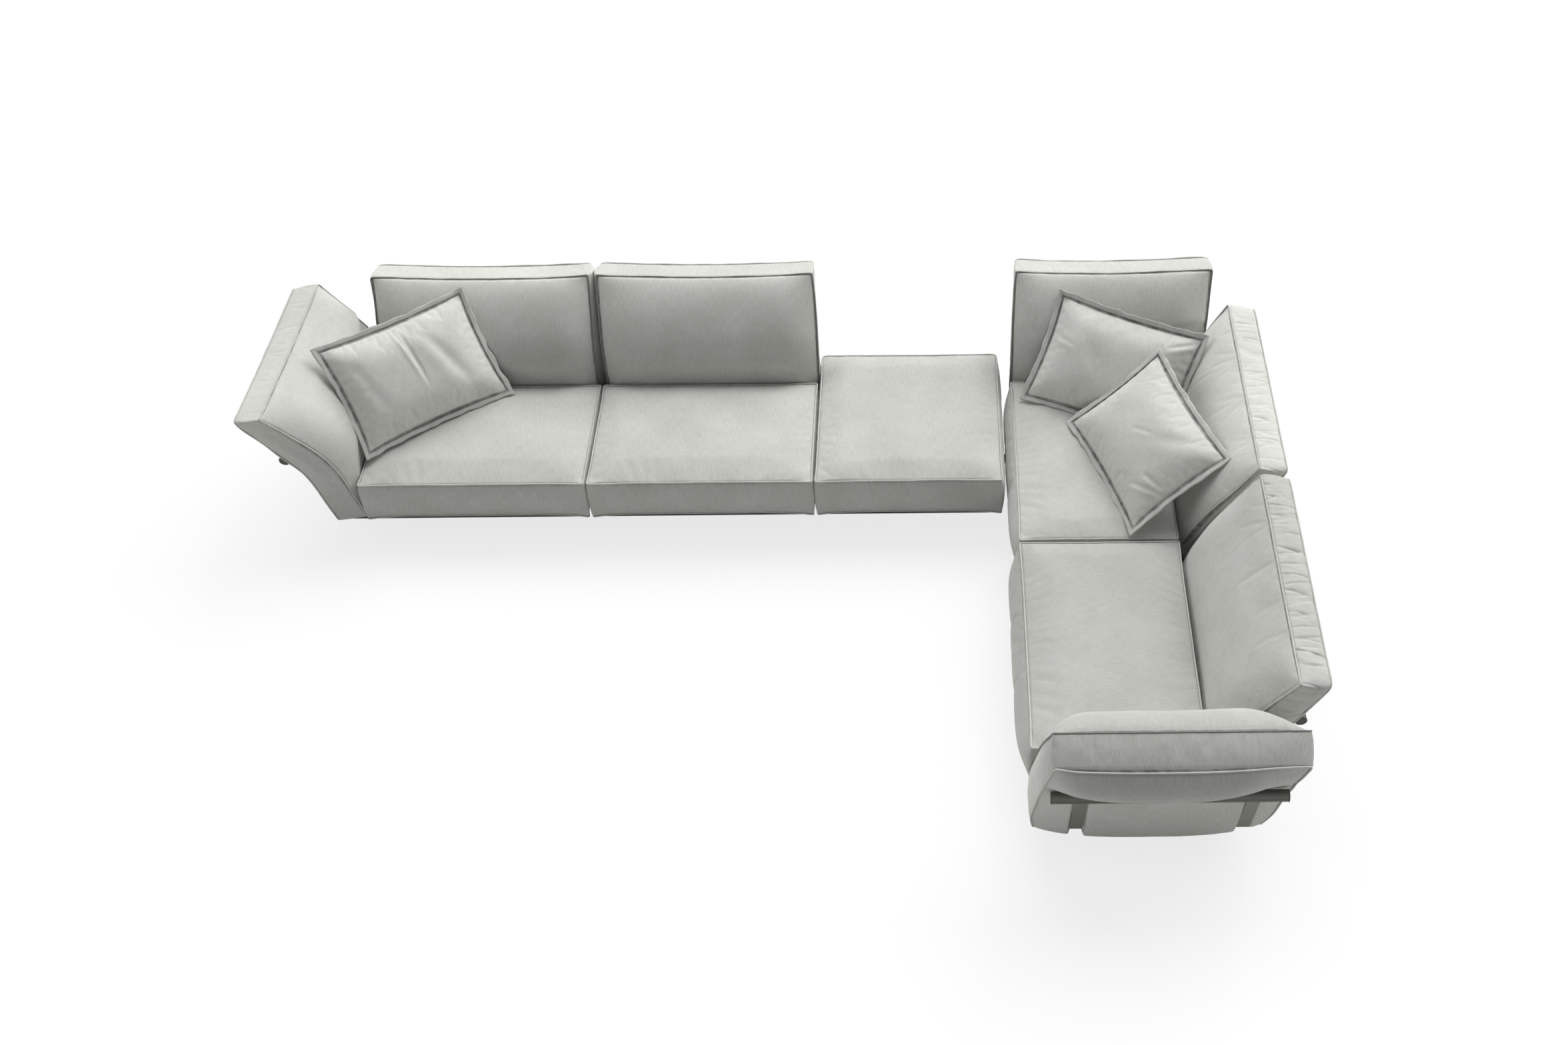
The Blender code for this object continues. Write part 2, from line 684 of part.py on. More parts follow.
def centre_everything(visible, group):
    """Put the origin on the floor under the middle of the whole."""
    low = Vector((math.inf, math.inf))
    high = -low
    for thing in visible:
        bm = world_mesh(thing)
        for vert in bm.verts:
            low = Vector(map(min, low, vert.co))
            high = Vector(map(max, high, vert.co))
        bm.free()
    middle = (low + high) / 2
    shift = Matrix.Translation((-middle.x, -middle.y, 0))
    for thing in group:
        thing.matrix_world = shift @ thing.matrix_world


def main():
    clear_scene()
    parts = new_collection(OBJECT_NAME)
    cutters = new_collection(OBJECT_NAME + "_cutters")

    bases = {}
    seats = {}
    for module, (lines, kinds) in MODULES.items():
        bases[module] = base_lines(lines, kinds)
        seats[module] = seat_cushion("seat_cushion_" + module, lines, kinds, parts)
        base_frame("base_frame_" + module, bases[module], parts, cutters)
        slat_deck("slat_deck_" + module, bases[module], parts)
    modules = list(MODULES)
    for one, two in zip(modules, modules[1:]):
        link_plate(one, two, bases, parts)

    pads = []
    for name, (side, *span) in PADS.items():
        label = name.replace("_cushion", "")
        ends = bar_ends(side, span)
        pad = pad_cushion(name, side, span, parts)
        press_pad(pad, label, side, ends, cutters)
        pads.append(pad)
        support_bar("support_bar_" + label, side, ends, parts)
        outline = upright_outline(PAD_SHAPES[side], BASE_REACH[side])
        for letter, x in zip("ab", upright_places(ends)):
            post = standing_at(pad_frame(side), x)
            flat_outline(
                "upright_" + label + "_" + letter, [outline], UPRIGHT_WIDTH, PAINT_WARM_GREY, parts, post
            )

    carriers = [world_tree(thing) for thing in [*seats.values(), *pads]]
    for name, (seat, place, turn, lean, roll) in PILLOWS.items():
        soft = pillow(name, parts)
        rest_pillow(soft, place, turn, lean, roll, carriers)
        carriers.append(world_tree(soft))

    centre_everything(parts.objects, [*parts.objects, *cutters.objects])


if __name__ == "__main__":
    main()
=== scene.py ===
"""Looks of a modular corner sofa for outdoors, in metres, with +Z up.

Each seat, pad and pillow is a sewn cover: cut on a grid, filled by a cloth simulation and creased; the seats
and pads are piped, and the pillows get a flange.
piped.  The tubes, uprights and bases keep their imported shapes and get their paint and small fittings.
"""
import math
from collections import namedtuple

import bmesh
import bpy
from mathutils import Matrix, Vector, noise


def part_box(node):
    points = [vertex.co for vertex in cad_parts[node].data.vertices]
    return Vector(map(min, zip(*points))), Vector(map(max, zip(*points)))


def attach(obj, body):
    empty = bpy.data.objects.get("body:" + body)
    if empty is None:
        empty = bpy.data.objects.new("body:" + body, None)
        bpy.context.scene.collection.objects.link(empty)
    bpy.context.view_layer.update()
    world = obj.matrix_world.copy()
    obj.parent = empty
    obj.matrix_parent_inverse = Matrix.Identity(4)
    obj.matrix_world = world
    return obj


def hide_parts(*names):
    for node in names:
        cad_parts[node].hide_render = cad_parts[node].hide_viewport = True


bl_info = {
    "name": "Outdoor corner sofa",
    "version": (1, 0, 0),
    "blender": (4, 5, 0),
    "location": "3D View > Sidebar > Sofa",
    "description": "Sewn covers, paint and fittings for the packed corner sofa",
    "category": "Object",
}

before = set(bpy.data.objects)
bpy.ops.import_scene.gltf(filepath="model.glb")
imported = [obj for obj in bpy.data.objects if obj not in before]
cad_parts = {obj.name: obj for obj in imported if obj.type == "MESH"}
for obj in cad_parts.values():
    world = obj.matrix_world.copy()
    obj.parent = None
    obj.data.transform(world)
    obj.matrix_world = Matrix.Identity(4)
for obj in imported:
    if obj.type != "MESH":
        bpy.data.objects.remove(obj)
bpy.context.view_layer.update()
MM = 0.001

Cover = namedtuple("Cover", "thing index counts")
Crumple = namedtuple("Crumple", "depth size seed")
PadShape = namedtuple(
    "PadShape",
    "height foot lower_lean upper_lean foot_thickness top_thickness"
    " crown fullness skew bar_along bar_offset",
)

# Sizes of the modules in plan, as in the part
ROW_SEAT_WIDTH = 1.077
SEAT_DEPTH = 0.713
POUF_WIDTH = 0.900
POUF_DEPTH = 0.925
RETURN_GAP = 0.049
RETURN_DEPTH = 0.740
CORNER_FORWARD = 0.390
END_LENGTH = 1.176
CUSHION_GAP = 0.003
SEAT_THICKNESS = 0.219
FRONT_BELLY = 0.008
RETURN_BELLY = 0.052
ROW_LEFT = -2 * ROW_SEAT_WIDTH
RETURN_LEFT = POUF_WIDTH + RETURN_GAP
RETURN_RIGHT = RETURN_LEFT + RETURN_DEPTH
END_REAR = -CORNER_FORWARD
END_FRONT = END_REAR - END_LENGTH
DECK_MARGIN = 0.0003
BASE_INSET = 0.060

# The plan's origin in the frame: the middle base is set in by the same inset at its left and front
MIDDLE_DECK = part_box("slat_deck_middle")
PLAN_ORIGIN = Vector(
    (
        MIDDLE_DECK[0].x + ROW_SEAT_WIDTH - BASE_INSET,
        MIDDLE_DECK[0].y - BASE_INSET,
        MIDDLE_DECK[1].z + DECK_MARGIN,
    )
)

# name: left, right, front and rear lines, what each side meets there, and the weave's direction
SEATS = {
    "left": ((ROW_LEFT, -ROW_SEAT_WIDTH, 0.0, SEAT_DEPTH), ("pad", "seat", "open", "pad"), "deep"),
    "middle": ((-ROW_SEAT_WIDTH, 0.0, 0.0, SEAT_DEPTH), ("seat", "seat", "open", "pad"), "deep"),
    "pouf": ((0.0, POUF_WIDTH, 0.0, POUF_DEPTH), ("seat", "open", "open", "open"), "deep"),
    "corner": ((RETURN_LEFT, RETURN_RIGHT, END_REAR, SEAT_DEPTH), ("gap", "pad", "seat", "pad"), "wide"),
    "end": ((RETURN_LEFT, RETURN_RIGHT, END_FRONT, END_REAR), ("free", "pad", "pad", "seat"), "wide"),
}
SEAT_CORNER = 0.012
POUF_REAR_ROUND = 0.034
SEAT_FOOT_ROUND = 0.014
SEAT_FOOT_HEIGHT = 0.055
SEAT_DRAW_IN = 0.006

# How a seat's crown is shared between its edges and its middle, and where its sides swell
CROWN_AT_EDGES, CROWN_IN_MIDDLE = 0.6, 0.4
SIDE_SPREAD, SIDE_ONSET = 8, 5

# Sizes over which a seat's piping wanders and its rims' noise seeds, and size and seed of a pad's
SEAT_WAVERS = (0.22, 0.07)
TOP_RIM_SEED, LOW_RIM_SEED = 7.0, 19.0
PAD_WAVERS = ((0.20, 11.0), (0.08, 17.0), (0.09, 23.0))
PAD_SHORT_WAVER, PAD_SIDE_WAVER = 1.1, 1.2

# Hollows, puckers and dents of the cloth
SEAT_HOLLOWS = Crumple(0.0022, 0.17, 2.0)
SEAT_PUCKERS = Crumple(0.0009, 0.028, 5.0)
PAD_HOLLOWS = Crumple(0.0024, 0.16, 3.0)
PAD_PUCKERS = Crumple(0.0007, 0.03, 9.0)
PILLOW_DENTS = Crumple(0.0035, 0.13, 6.0)

# Bands beside a cover's edges, as shares of its sides, where hollows fade out and puckers gather
SEAT_HOLLOW_BAND, SEAT_PUCKER_BAND, SIDE_PUCKER_BAND = 0.08, 0.035, 0.15
PAD_HOLLOW_BAND, PAD_PUCKER_BAND = 0.1, 0.05
PILLOW_DENT_BAND = 0.2

# Side of the plan: a point on the pads' inner plane, the way along it and the way out
SIDES = {
    "rear": (Vector((0, SEAT_DEPTH, 0)), Vector((1, 0, 0)), Vector((0, 1, 0))),
    "left": (Vector((ROW_LEFT, 0, 0)), Vector((0, 1, 0)), Vector((-1, 0, 0))),
    "right": (Vector((RETURN_RIGHT, 0, 0)), Vector((0, -1, 0)), Vector((1, 0, 0))),
    "front": (Vector((0, END_FRONT, 0)), Vector((-1, 0, 0)), Vector((0, -1, 0))),
}
UPRIGHT_REACH = {"rear": 0.100, "left": 0.100, "right": 0.140, "front": 0.160}

ROW_PAD = PadShape(0.732, 0.064, 14, 37, 0.145, 0.110, 0.084, 0.6, 0.030, 0.459, 0.100)
PAD_SHAPES = {
    "rear": ROW_PAD,
    "left": ROW_PAD,
    "right": PadShape(0.710, 0.078, 21, 28, 0.170, 0.120, 0.070, 0.6, 0.022, 0.459, 0.112),
    "front": PadShape(0.680, 0.107, 15, 22, 0.215, 0.135, 0.150, 0.5, -0.007, 0.430, 0.122),
}
PAD_BEND_START = 0.250
PAD_BEND_LENGTH = 0.170
PAD_LOW_CROWN = 0.050
PAD_HIGH_CROWN = 0.085
PAD_END_BELLY = 0.0015
PAD_TOP_SAG = {"rear": 0.015, "left": 0.004, "right": 0.0, "front": 0.003}
PAD_FOOT_ROUND = {"rear": 0.030, "left": 0.010, "right": 0.030, "front": 0.030}
PAD_ROUND_HEIGHT = 0.145
PAD_TAPER_HEIGHT = 0.560
PAD_CORNER = 0.022
PAD_INNER_CORNER = 0.001
PAD_ONSET = 5
RIM_DRAW_FADE = 1.8
FACE_SPREAD_START = 0.240
FACE_SPREAD_LENGTH = 0.210

# name: side, both ends at the foot, how far each end moves at the top, and each end's push outwards
PADS = {
    "back_left": ("rear", ROW_LEFT + 0.005, -ROW_SEAT_WIDTH - 0.002, -0.054, -0.046, 0, 0),
    "back_middle": ("rear", -ROW_SEAT_WIDTH + 0.002, 0.006, -0.018, -0.026, 0, 0),
    "back_corner_rear": ("rear", RETURN_LEFT + 0.006, RETURN_RIGHT + 0.210, 0.024, 0.060, 0, 0),
    "back_corner_side": ("right", 0.006 - SEAT_DEPTH, CORNER_FORWARD - 0.002, -0.058, -0.012, 0, 0),
    "back_end": ("right", CORNER_FORWARD + 0.002, -END_FRONT - 0.006, 0.014, 0.030, 0, 0),
    "arm_left": ("left", 0.002, SEAT_DEPTH + 0.275, -0.002, 0.002, 0.010, -0.030),
    "arm_front": ("front", -RETURN_RIGHT - 0.236, -RETURN_LEFT + 0.019, -0.080, -0.080, 0, 0),
}
# name: how far each end's boxing puffs out at the top, until it meets its neighbour
NEIGHBOUR_PUFF = {"back_left": (0.0, 0.013), "back_middle": (0.013, 0.0)}

# name: how far the inner rim is drawn in at each end, half way up and at the foot
RIM_DRAW = {
    "back_left": ((0.004, 0.0), (0.004, 0.012)),
    "back_middle": ((0.006, 0.034), (-0.010, 0.006)),
    "back_corner_rear": ((-0.009, -0.004), (0.004, 0.010)),
    "back_corner_side": ((0.010, 0.010), (0.010, 0.065)),
    "back_end": ((0.010, 0.030), (0.012, 0.0)),
    "arm_left": ((0.012, 0.0), (0.012, 0.0)),
    "arm_front": ((0.012, 0.0), (0.012, 0.0)),
}

# Shares of a pad's height and length past which its boxing begins
BOXING_TOP, BOXING_END = 0.985, 0.012

# name: depth of the puckers in the boxing
BOXING_PUCKERS = {"back_corner_side": 0.0022, "back_end": 0.0046, "arm_left": 0.0014}
USUAL_PUCKERS = 0.0012
PUCKERED_CELL = 0.010

# Puckers across the boxing: spacing and width, how far they run, and what puffs up between them
PUCKER_SPACING = 0.058
PUCKER_SLANT = 0.45
PUCKER_WIDTH = 0.13
PUCKER_DEPTH = 1.9
PUCKER_RUN_SPACING = 0.080
PUCKER_RUN_SLANT = 2.2
PUCKER_RUN, PUCKER_RUN_SPREAD, PUCKER_LONGEST = 0.75, 0.9, 1.2
PUCKER_PUFF = 0.8
PUCKER_SEED, PUCKER_RUN_SEED = 31.0, 57.0

BAR_RADIUS = 0.025
BAR_PRESS = 0.004
BAR_END_INSET = 0.035
UPRIGHT_WIDTH = 0.055
UPRIGHT_THICKNESS = 0.008
UPRIGHT_END_INSET = 0.120
UPRIGHT_BAR_INSET = 0.013
GROOVE_MARGIN = 0.002
GROOVE_EDGE = 0.0025

# Caps in the tubes' ends, screws through the uprights' feet, and glides under the legs
CAP_OVERLAP = 0.0012
CAP_THICKNESS = 0.004
CAP_DOME = 0.001
CAP_STAND_OFF = 0.0022
SCREW_RADIUS = 0.0055
SCREW_THICKNESS = 0.0035
SCREW_DOME = 0.0006
SCREW_STAND_OFF = 0.0018
SCREW_SPACING = 0.028
SCREW_DROP = 0.0285
FOOT_GAP = 0.0003
DISC_SIDES = 40
DISC_EASE = 0.45
DISC_INSET = 0.35
LEG_FOOT = 0.036
LEG_TOP = 0.045
LEG_SETBACK = 0.110
GLIDE_MARGIN = 0.002
GLIDE_THICKNESS = 0.006
GLIDE_EASE = 0.0012

PILLOW_WIDTH = 0.790
PILLOW_HEIGHT = 0.580
PILLOW_FRONT_PUFF = 0.080
PILLOW_BACK_PUFF = 0.040
PACKED_FRONT_PUFF = 0.080
PACKED_BACK_PUFF = 0.045
PACKED_EDGE = 0.003
PACKED_COLUMNS = (-0.62, -0.22, 0.22, 0.62)
PACKED_ROWS = (-0.55, 0, 0.55)
PUFF_SPREAD = 2.4
PUFF_ROUNDING = 0.62
PILLOW_SEAM = 0.003
PILLOW_CELL = 0.011
PILLOW_FLANGE = 0.028
PILLOW_DRAW_IN = 0.016

# name: body it rides on, turn about Z, lean from the floor, and roll, in degrees
PILLOWS = {
    "left": ("loose_pillow_left", 38.6, 46.0, -1.4),
    "corner_rear": ("loose_pillow_corner_rear", -27.3, 39.7, -0.6),
    "corner_side": ("loose_pillow_corner_side", -69.3, 36.3, -2.4),
}

# name: how far its filling pushes a pillow off the pads behind it
PILLOW_FORWARD = {
    "left": Vector((0, -0.004, 0.004)),
    "corner_rear": Vector((0, -0.004, 0.004)),
    "corner_side": Vector((-0.008, 0.002, 0.008)),
}

FLANGE_ROWS = 4
FLANGE_THICKNESS = 0.004
FLANGE_RIPPLE = Crumple(0.009, 0.070, 0.0)
FLANGE_CRIMP = Crumple(0.0022, 0.016, 0.0)
FLANGE_WAVER = 0.009
FLANGE_WAVER_SIZE = 0.060
WAVER_X_SEED, WAVER_Y_SEED = 3.0, 8.0

# name: how far the flange stands forward at the pillow's top
FLANGE_LIFT = {"left": 0.004, "corner_rear": 0.013, "corner_side": 0.0}

# Ridge beside a fold: its height, place and width, as shares of the fold's
RIDGE_HEIGHT, RIDGE_PLACE, RIDGE_WIDTH = 0.6, 1.7, 1.4

# Folds on each pillow's front: both ends as shares of its width and height, depth and width
PILLOW_FOLDS = {
    "left": [
        ((0.47, 0.97), (0.50, 0.50), 0.005, 0.008),
        ((0.50, 0.92), (0.52, 0.33), 0.007, 0.010),
        ((0.62, 0.85), (0.80, 0.20), 0.009, 0.034),
        ((0.12, 0.80), (0.22, 0.25), 0.005, 0.030),
    ],
    "corner_rear": [
        ((0.04, 0.62), (0.24, 0.56), 0.003, 0.012),
        ((0.80, 0.80), (0.98, 0.94), 0.006, 0.014),
        ((0.25, 0.75), (0.45, 0.35), 0.005, 0.040),
    ],
    "corner_side": [
        ((0.79, 0.36), (0.95, 0.41), 0.008, 0.014),
        ((0.76, 0.20), (0.95, 0.36), 0.006, 0.012),
        ((0.60, 0.55), (0.88, 0.95), 0.005, 0.035),
        ((0.45, 0.48), (0.60, 0.62), 0.003, 0.012),
    ],
}

# Grid of a cover: usual and edge cell, and how fast the cells grow away from an edge
CELL = 0.015
EDGE_CELL = 0.006
CELL_GROWTH = 1.4

# Shares of a cover beyond which a point is on its edge, or on a seat's top panel
AT_EDGE = 0.999
NEAR_TOP = 0.98

# Room that the cloth leaves for the tubes and the piping, and how it dips into the seam
PRESS_CLEARANCE = 0.001
PIPING_SINK = 0.0005
PIPING_ROOM = 0.0035
SEAM_DIP = 0.0030
SEAM_DIP_PLACE = 0.0060
SEAM_DIP_WIDTH = 0.0045

# Names of what a cover keeps at its points, and the two lines that each panel's weave follows
CUT = "cut"
SEAM = "seam"
TONE = "tone"
WEAVE = "weave"
WEAVE_WAYS = {0: (1, 2), 1: (0, 2), 2: (0, 1)}
WEAVE_STEP, PANEL_STEP = 3.7, 1.3

# Axis that the piping goes round, and how far each rim's dip and its dark line of painted shade are narrowed
SEATS_PIPED, PADS_PIPED = 2, 1
SEAT_SEAMS = (1.5, 1.5)
PAD_SEAMS = {"rear": (0.95, 2.0), "left": (1.3, 1.8), "right": (1.3, 1.8), "front": (2.4, 1.8)}
PILLOW_SEAMS = (1.1, 1.1)
# Share of the fabric's colour that the piping keeps on shaded rims, darkened as painted shade
SHADED_PIPING_TONE = 0.40

# A wave texture of scale 1 has a band every 2 pi / 20 units
WAVE_UNITS = 20

# Painted light and shade: how much darker (below 1) or lighter (above 1) a cover's colour is painted, low
# down and at its top
PAINTED_LIGHT_FROM, PAINTED_LIGHT_TO = 0.50, 0.88
PAINTED_LIGHT_TONES = {
    "seat_cover_end": (1.05, 0.84),
    "pad_cover_back_left": (0.93, 1.18),
    "pad_cover_back_middle": (0.97, 1.15),
    "pad_cover_back_corner_rear": (0.92, 1.16),
    "pad_cover_back_corner_side": (1.05, 1.22),
    "pad_cover_back_end": (1.0, 0.94),
    "pad_cover_arm_left": (1.0, 1.08),
    "pad_cover_arm_front": (1.12, 0.80),
    "pillow_cover_left": (1.22, 1.22),
    "pillow_cover_corner_rear": (1.13, 1.13),
    "pillow_cover_corner_side": (1.13, 1.13),
}
# Sides whose inner piping is darkened as painted shade
SHADED_PIPING_SIDES = ("rear", "front")

# Paint: its colour among the settings, and its roughness
PAINTS = {
    "powder_coated_tube": ("tube", 0.42),
    "powder_coated_upright": ("upright", 0.50),
    "powder_coated_base": ("base", 0.50),
}

# The cloth of the covers, and how far the filling may move it
CLOTH = {
    "quality": 5,
    "mass": 0.3,
    "tension_stiffness": 12,
    "compression_stiffness": 12,
    "shear_stiffness": 4,
    "bending_stiffness": 0.4,
    "use_pressure": True,
}
FILLING_CAP = 0.012
PILLOW_FILLING_CAP = 0.025

# The photograph's camera
IMAGE_WIDTH = 2352
SENSOR_WIDTH = 36.0
FOCAL_PIXELS = 2677.1
MIDDLE_PIXELS = 234.2
CAMERA_PLACE = (0.7946, -5.5526, 6.2736)
CAMERA_LEAN = math.radians(43.99)
CAMERA_TURN, CAMERA_ROLL = -0.00514, -0.006

# Soft studio lamps: the way each shines from, and its strength in watts a square metre
LAMP_SPREAD = 50
LAMPS = {
    "lamp_rear": ((0, 1, 1.4), 1.95),
    "lamp_rear_right": ((1, 1, 1), 2.05),
    "lamp_left": ((-1, 0.2, 0.42), 0.9),
    "lamp_right": ((1, 0, 1), 0.25),
    "lamp_front": ((0, -1, 0.35), 0.38),
}
WORLD_STRENGTH = 0.03
FLOOR_GLOW = 0.78
FLOOR_HALF = 30.0
SMOOTH_ANGLE = math.radians(40)


def linear(code):
    """Colour of an sRGB hex code, in linear values with alpha."""
    values = [int(code[k:k + 2], 16) / 255 for k in (1, 3, 5)]
    bent = [v / 12.92 if v <= 0.04045 else ((v + 0.055) / 1.055) ** 2.4 for v in values]
    return (*bent, 1.0)


def new_mesh(name, bm):
    """Mesh of a bmesh, which is freed."""
    mesh = bpy.data.meshes.new(name)
    bm.to_mesh(mesh)
    bm.free()
    return mesh


def new_thing(name, data):
    """Object with its mesh, curve, lamp or camera, in the scene."""
    thing = bpy.data.objects.new(name, data)
    bpy.context.scene.collection.objects.link(thing)
    return thing


def length_setting(name, description, default):
    """Length that a user can change, in metres."""
    return bpy.props.FloatProperty(name=name, description=description, default=default, unit="LENGTH")


def colour_setting(name, description, code):
    """Colour that a user can change, whose default is an sRGB hex code."""
    return bpy.props.FloatVectorProperty(
        name=name, description=description, subtype="COLOR", size=4, default=linear(code)
    )


class SofaCovers(bpy.types.PropertyGroup):
    """Sewing of the covers."""

    seat_crown: length_setting("Seat crown", "Rise of a seat's top above its piping", 0.027)
    seat_edge_band: length_setting("Seat edge band", "Width over which a seat's top rises", 0.120)
    face_edge_band: length_setting("Face edge band", "Width over which a pad's face swells", 0.200)
    piping_diameter: length_setting("Piping", "Diameter of the piping cord in its fabric", 0.0080)
    waver: length_setting("Waver", "How far the piping wanders from a straight line", 0.0035)


class SofaFilling(bpy.types.PropertyGroup):
    """Cloth simulation that fills the covers."""

    seat_pressure: bpy.props.FloatProperty(
        name="Seat pressure", description="Pressure inside the seats and pads", default=1.5
    )
    pillow_pressure: bpy.props.FloatProperty(
        name="Pillow pressure", description="Pressure inside the pillows", default=2.5
    )
    slack: bpy.props.FloatProperty(
        name="Slack", description="Share by which a cover is cut larger than its filling", default=0.006
    )
    pillow_slack: bpy.props.FloatProperty(
        name="Pillow slack", description="The same share for the pillows", default=0.015
    )
    steps: bpy.props.IntProperty(name="Steps", description="Frames of the simulation", default=20)


class SofaFinishes(bpy.types.PropertyGroup):
    """Colours of the fabric and the paint."""

    fabric: colour_setting("Fabric", "Warm light grey yarn", "#CECFCA")
    slub: colour_setting("Slub", "Darker slubs in the yarn", "#B4B5AE")
    tube: colour_setting("Tube", "Powder coat of the tubes", "#5B5A53")
    upright: colour_setting("Upright", "Powder coat of the uprights", "#85847C")
    base: colour_setting("Base", "Powder coat of the bases", "#3A3A37")
    cap: colour_setting("Cap", "Moulded caps and glides", "#4A4943")


# Materials


def add_node(tree, kind, inputs=None, **settings):
    """Add one node with its settings; an input is a value or the socket to link to it."""
    made = tree.nodes.new(kind)
    for key, value in settings.items():
        setattr(made, key, value)
    for key, value in (inputs or {}).items():
        if isinstance(value, bpy.types.NodeSocket):
            tree.links.new(value, made.inputs[key])
        else:
            made.inputs[key].default_value = value
    return made


def new_finish(name):
    """Empty material with its Principled shader."""
    finish = bpy.data.materials.new(name)
    finish.use_nodes = True
    return finish, finish.node_tree, finish.node_tree.nodes["Principled BSDF"]


def woven_fabric(name, sewn_weave, painted_tone=1.0):
    """Solution-dyed outdoor linen weave: matt, softly slubbed along its warp, with a faint cross thread.

    The yarn is about 1 mm thick and its slubs about 45 mm long.  The threads are drawn 2.4 mm apart and
    the slubs 4.2 mm wide, because single ones are too fine to show.  Beside the piping the cloth gets a
    dark line of painted shade, in uneven patches, for the shade in the seam.  A painted tone below 1
    darkens the whole cloth as painted shade.
    """
    finishes = bpy.context.scene.sofa_finishes
    finish, tree, shader = new_finish(name)
    if sewn_weave:
        place = add_node(tree, "ShaderNodeUVMap", uv_map=WEAVE).outputs["UV"]
    else:
        place = add_node(tree, "ShaderNodeTexCoord").outputs["Object"]
    solid = add_node(tree, "ShaderNodeTexCoord").outputs["Object"]
    slub_width, slub_length, thread = 4.2 * MM, 45 * MM, 2.4 * MM
    faded_patch, shade_patch = 220 * MM, 45 * MM
    slub_share, cross_share, faded_share, thread_share = 0.78, 0.34, 0.5, 0.5
    seam_edge, seam_reach = 4 * MM, 10 * MM
    darkest_shade, lightest_shade = 0.34, 0.70
    fine, coarse = 1 / slub_width, 1 / slub_length
    warp = add_node(tree, "ShaderNodeMapping", {"Vector": place, "Scale": (fine, coarse, 1)})
    weft = add_node(tree, "ShaderNodeMapping", {"Vector": place, "Scale": (coarse, fine, 1)})
    slubs = add_node(
        tree, "ShaderNodeTexNoise", {"Vector": warp.outputs[0], "Scale": 1.0, "Detail": 3.0, "Roughness": 0.6}
    )
    cross = add_node(
        tree, "ShaderNodeTexNoise", {"Vector": weft.outputs[0], "Scale": 1.0, "Detail": 2.0, "Roughness": 0.5}
    )
    cloud = add_node(tree, "ShaderNodeTexNoise", {"Vector": solid, "Scale": 1 / faded_patch, "Detail": 3.0})
    some_cross = add_node(
        tree, "ShaderNodeMath", {0: cross.outputs["Fac"], 1: cross_share, 2: 0.0}, operation="MULTIPLY_ADD"
    )
    yarn = add_node(
        tree, "ShaderNodeMath", {0: slubs.outputs["Fac"], 1: slub_share, 2: some_cross.outputs[0]},
        operation="MULTIPLY_ADD",
    )
    tone = add_node(
        tree, "ShaderNodeMath", {0: cloud.outputs["Fac"], 1: faded_share, 2: yarn.outputs[0]},
        operation="MULTIPLY_ADD",
    )
    share = add_node(
        tree, "ShaderNodeMapRange",
        {"Value": tone.outputs[0], "From Min": 0.50, "From Max": 1.0, "To Min": 1.0, "To Max": 0.0},
    )
    # Below 1, the painted tone darkens the yarns as painted shade
    yarns = [(*(value * painted_tone for value in colour[:3]), 1.0) for colour in (finishes.fabric, finishes.slub)]
    mixed = add_node(
        tree, "ShaderNodeMix", {"Factor": share.outputs[0], "A": yarns[0], "B": yarns[1]}, data_type="RGBA"
    )
    woven = mixed.outputs["Result"]
    if sewn_weave:
        # Painted shade: a dark line, in uneven patches, beside the piping where the seam lies in shade
        away = add_node(tree, "ShaderNodeAttribute", attribute_name=SEAM)
        shade_patches = add_node(tree, "ShaderNodeTexNoise", {"Vector": solid, "Scale": 1 / shade_patch, "Detail": 2.0})
        darkest = add_node(
            tree, "ShaderNodeMapRange",
            {
                "Value": shade_patches.outputs["Fac"], "From Min": 0.35, "From Max": 0.65,
                "To Min": darkest_shade, "To Max": lightest_shade,
            },
        )
        shade = add_node(
            tree, "ShaderNodeMapRange",
            {
                "Value": away.outputs["Fac"], "From Min": seam_edge, "From Max": seam_reach,
                "To Min": darkest.outputs[0], "To Max": 1.0,
            },
            interpolation_type="SMOOTHSTEP",
        )
        seam_shaded = add_node(
            tree, "ShaderNodeMix", {"Factor": 1.0, "A": woven, "B": shade.outputs[0]},
            data_type="RGBA", blend_type="MULTIPLY",
        )
        # Painted light and shade, kept at the cover's points
        painted_light = add_node(tree, "ShaderNodeAttribute", attribute_name=TONE)
        toned = add_node(
            tree, "ShaderNodeMix",
            {"Factor": 1.0, "A": seam_shaded.outputs["Result"], "B": painted_light.outputs["Fac"]},
            data_type="RGBA", blend_type="MULTIPLY",
        )
        woven = toned.outputs["Result"]
    tree.links.new(woven, shader.inputs["Base Color"])
    wave_scale = 2 * math.pi / (WAVE_UNITS * thread)
    threads = [
        add_node(tree, "ShaderNodeTexWave", {"Vector": place, "Scale": wave_scale}, bands_direction=axis)
        for axis in ("X", "Y")
    ]
    weave = add_node(
        tree, "ShaderNodeMath", {0: threads[0].outputs["Fac"], 1: threads[1].outputs["Fac"]},
        operation="MAXIMUM",
    )
    relief = add_node(
        tree, "ShaderNodeMath", {0: weave.outputs[0], 1: thread_share, 2: slubs.outputs["Fac"]},
        operation="MULTIPLY_ADD",
    )
    bump = add_node(
        tree, "ShaderNodeBump", {"Height": relief.outputs[0], "Strength": 0.22, "Distance": 1.2 * MM}
    )
    tree.links.new(bump.outputs[0], shader.inputs["Normal"])
    shader.inputs["Roughness"].default_value = 0.92
    shader.inputs["Specular IOR Level"].default_value = 0.25
    shader.inputs["Sheen Weight"].default_value = 0.20
    shader.inputs["Sheen Roughness"].default_value = 0.55
    return finish


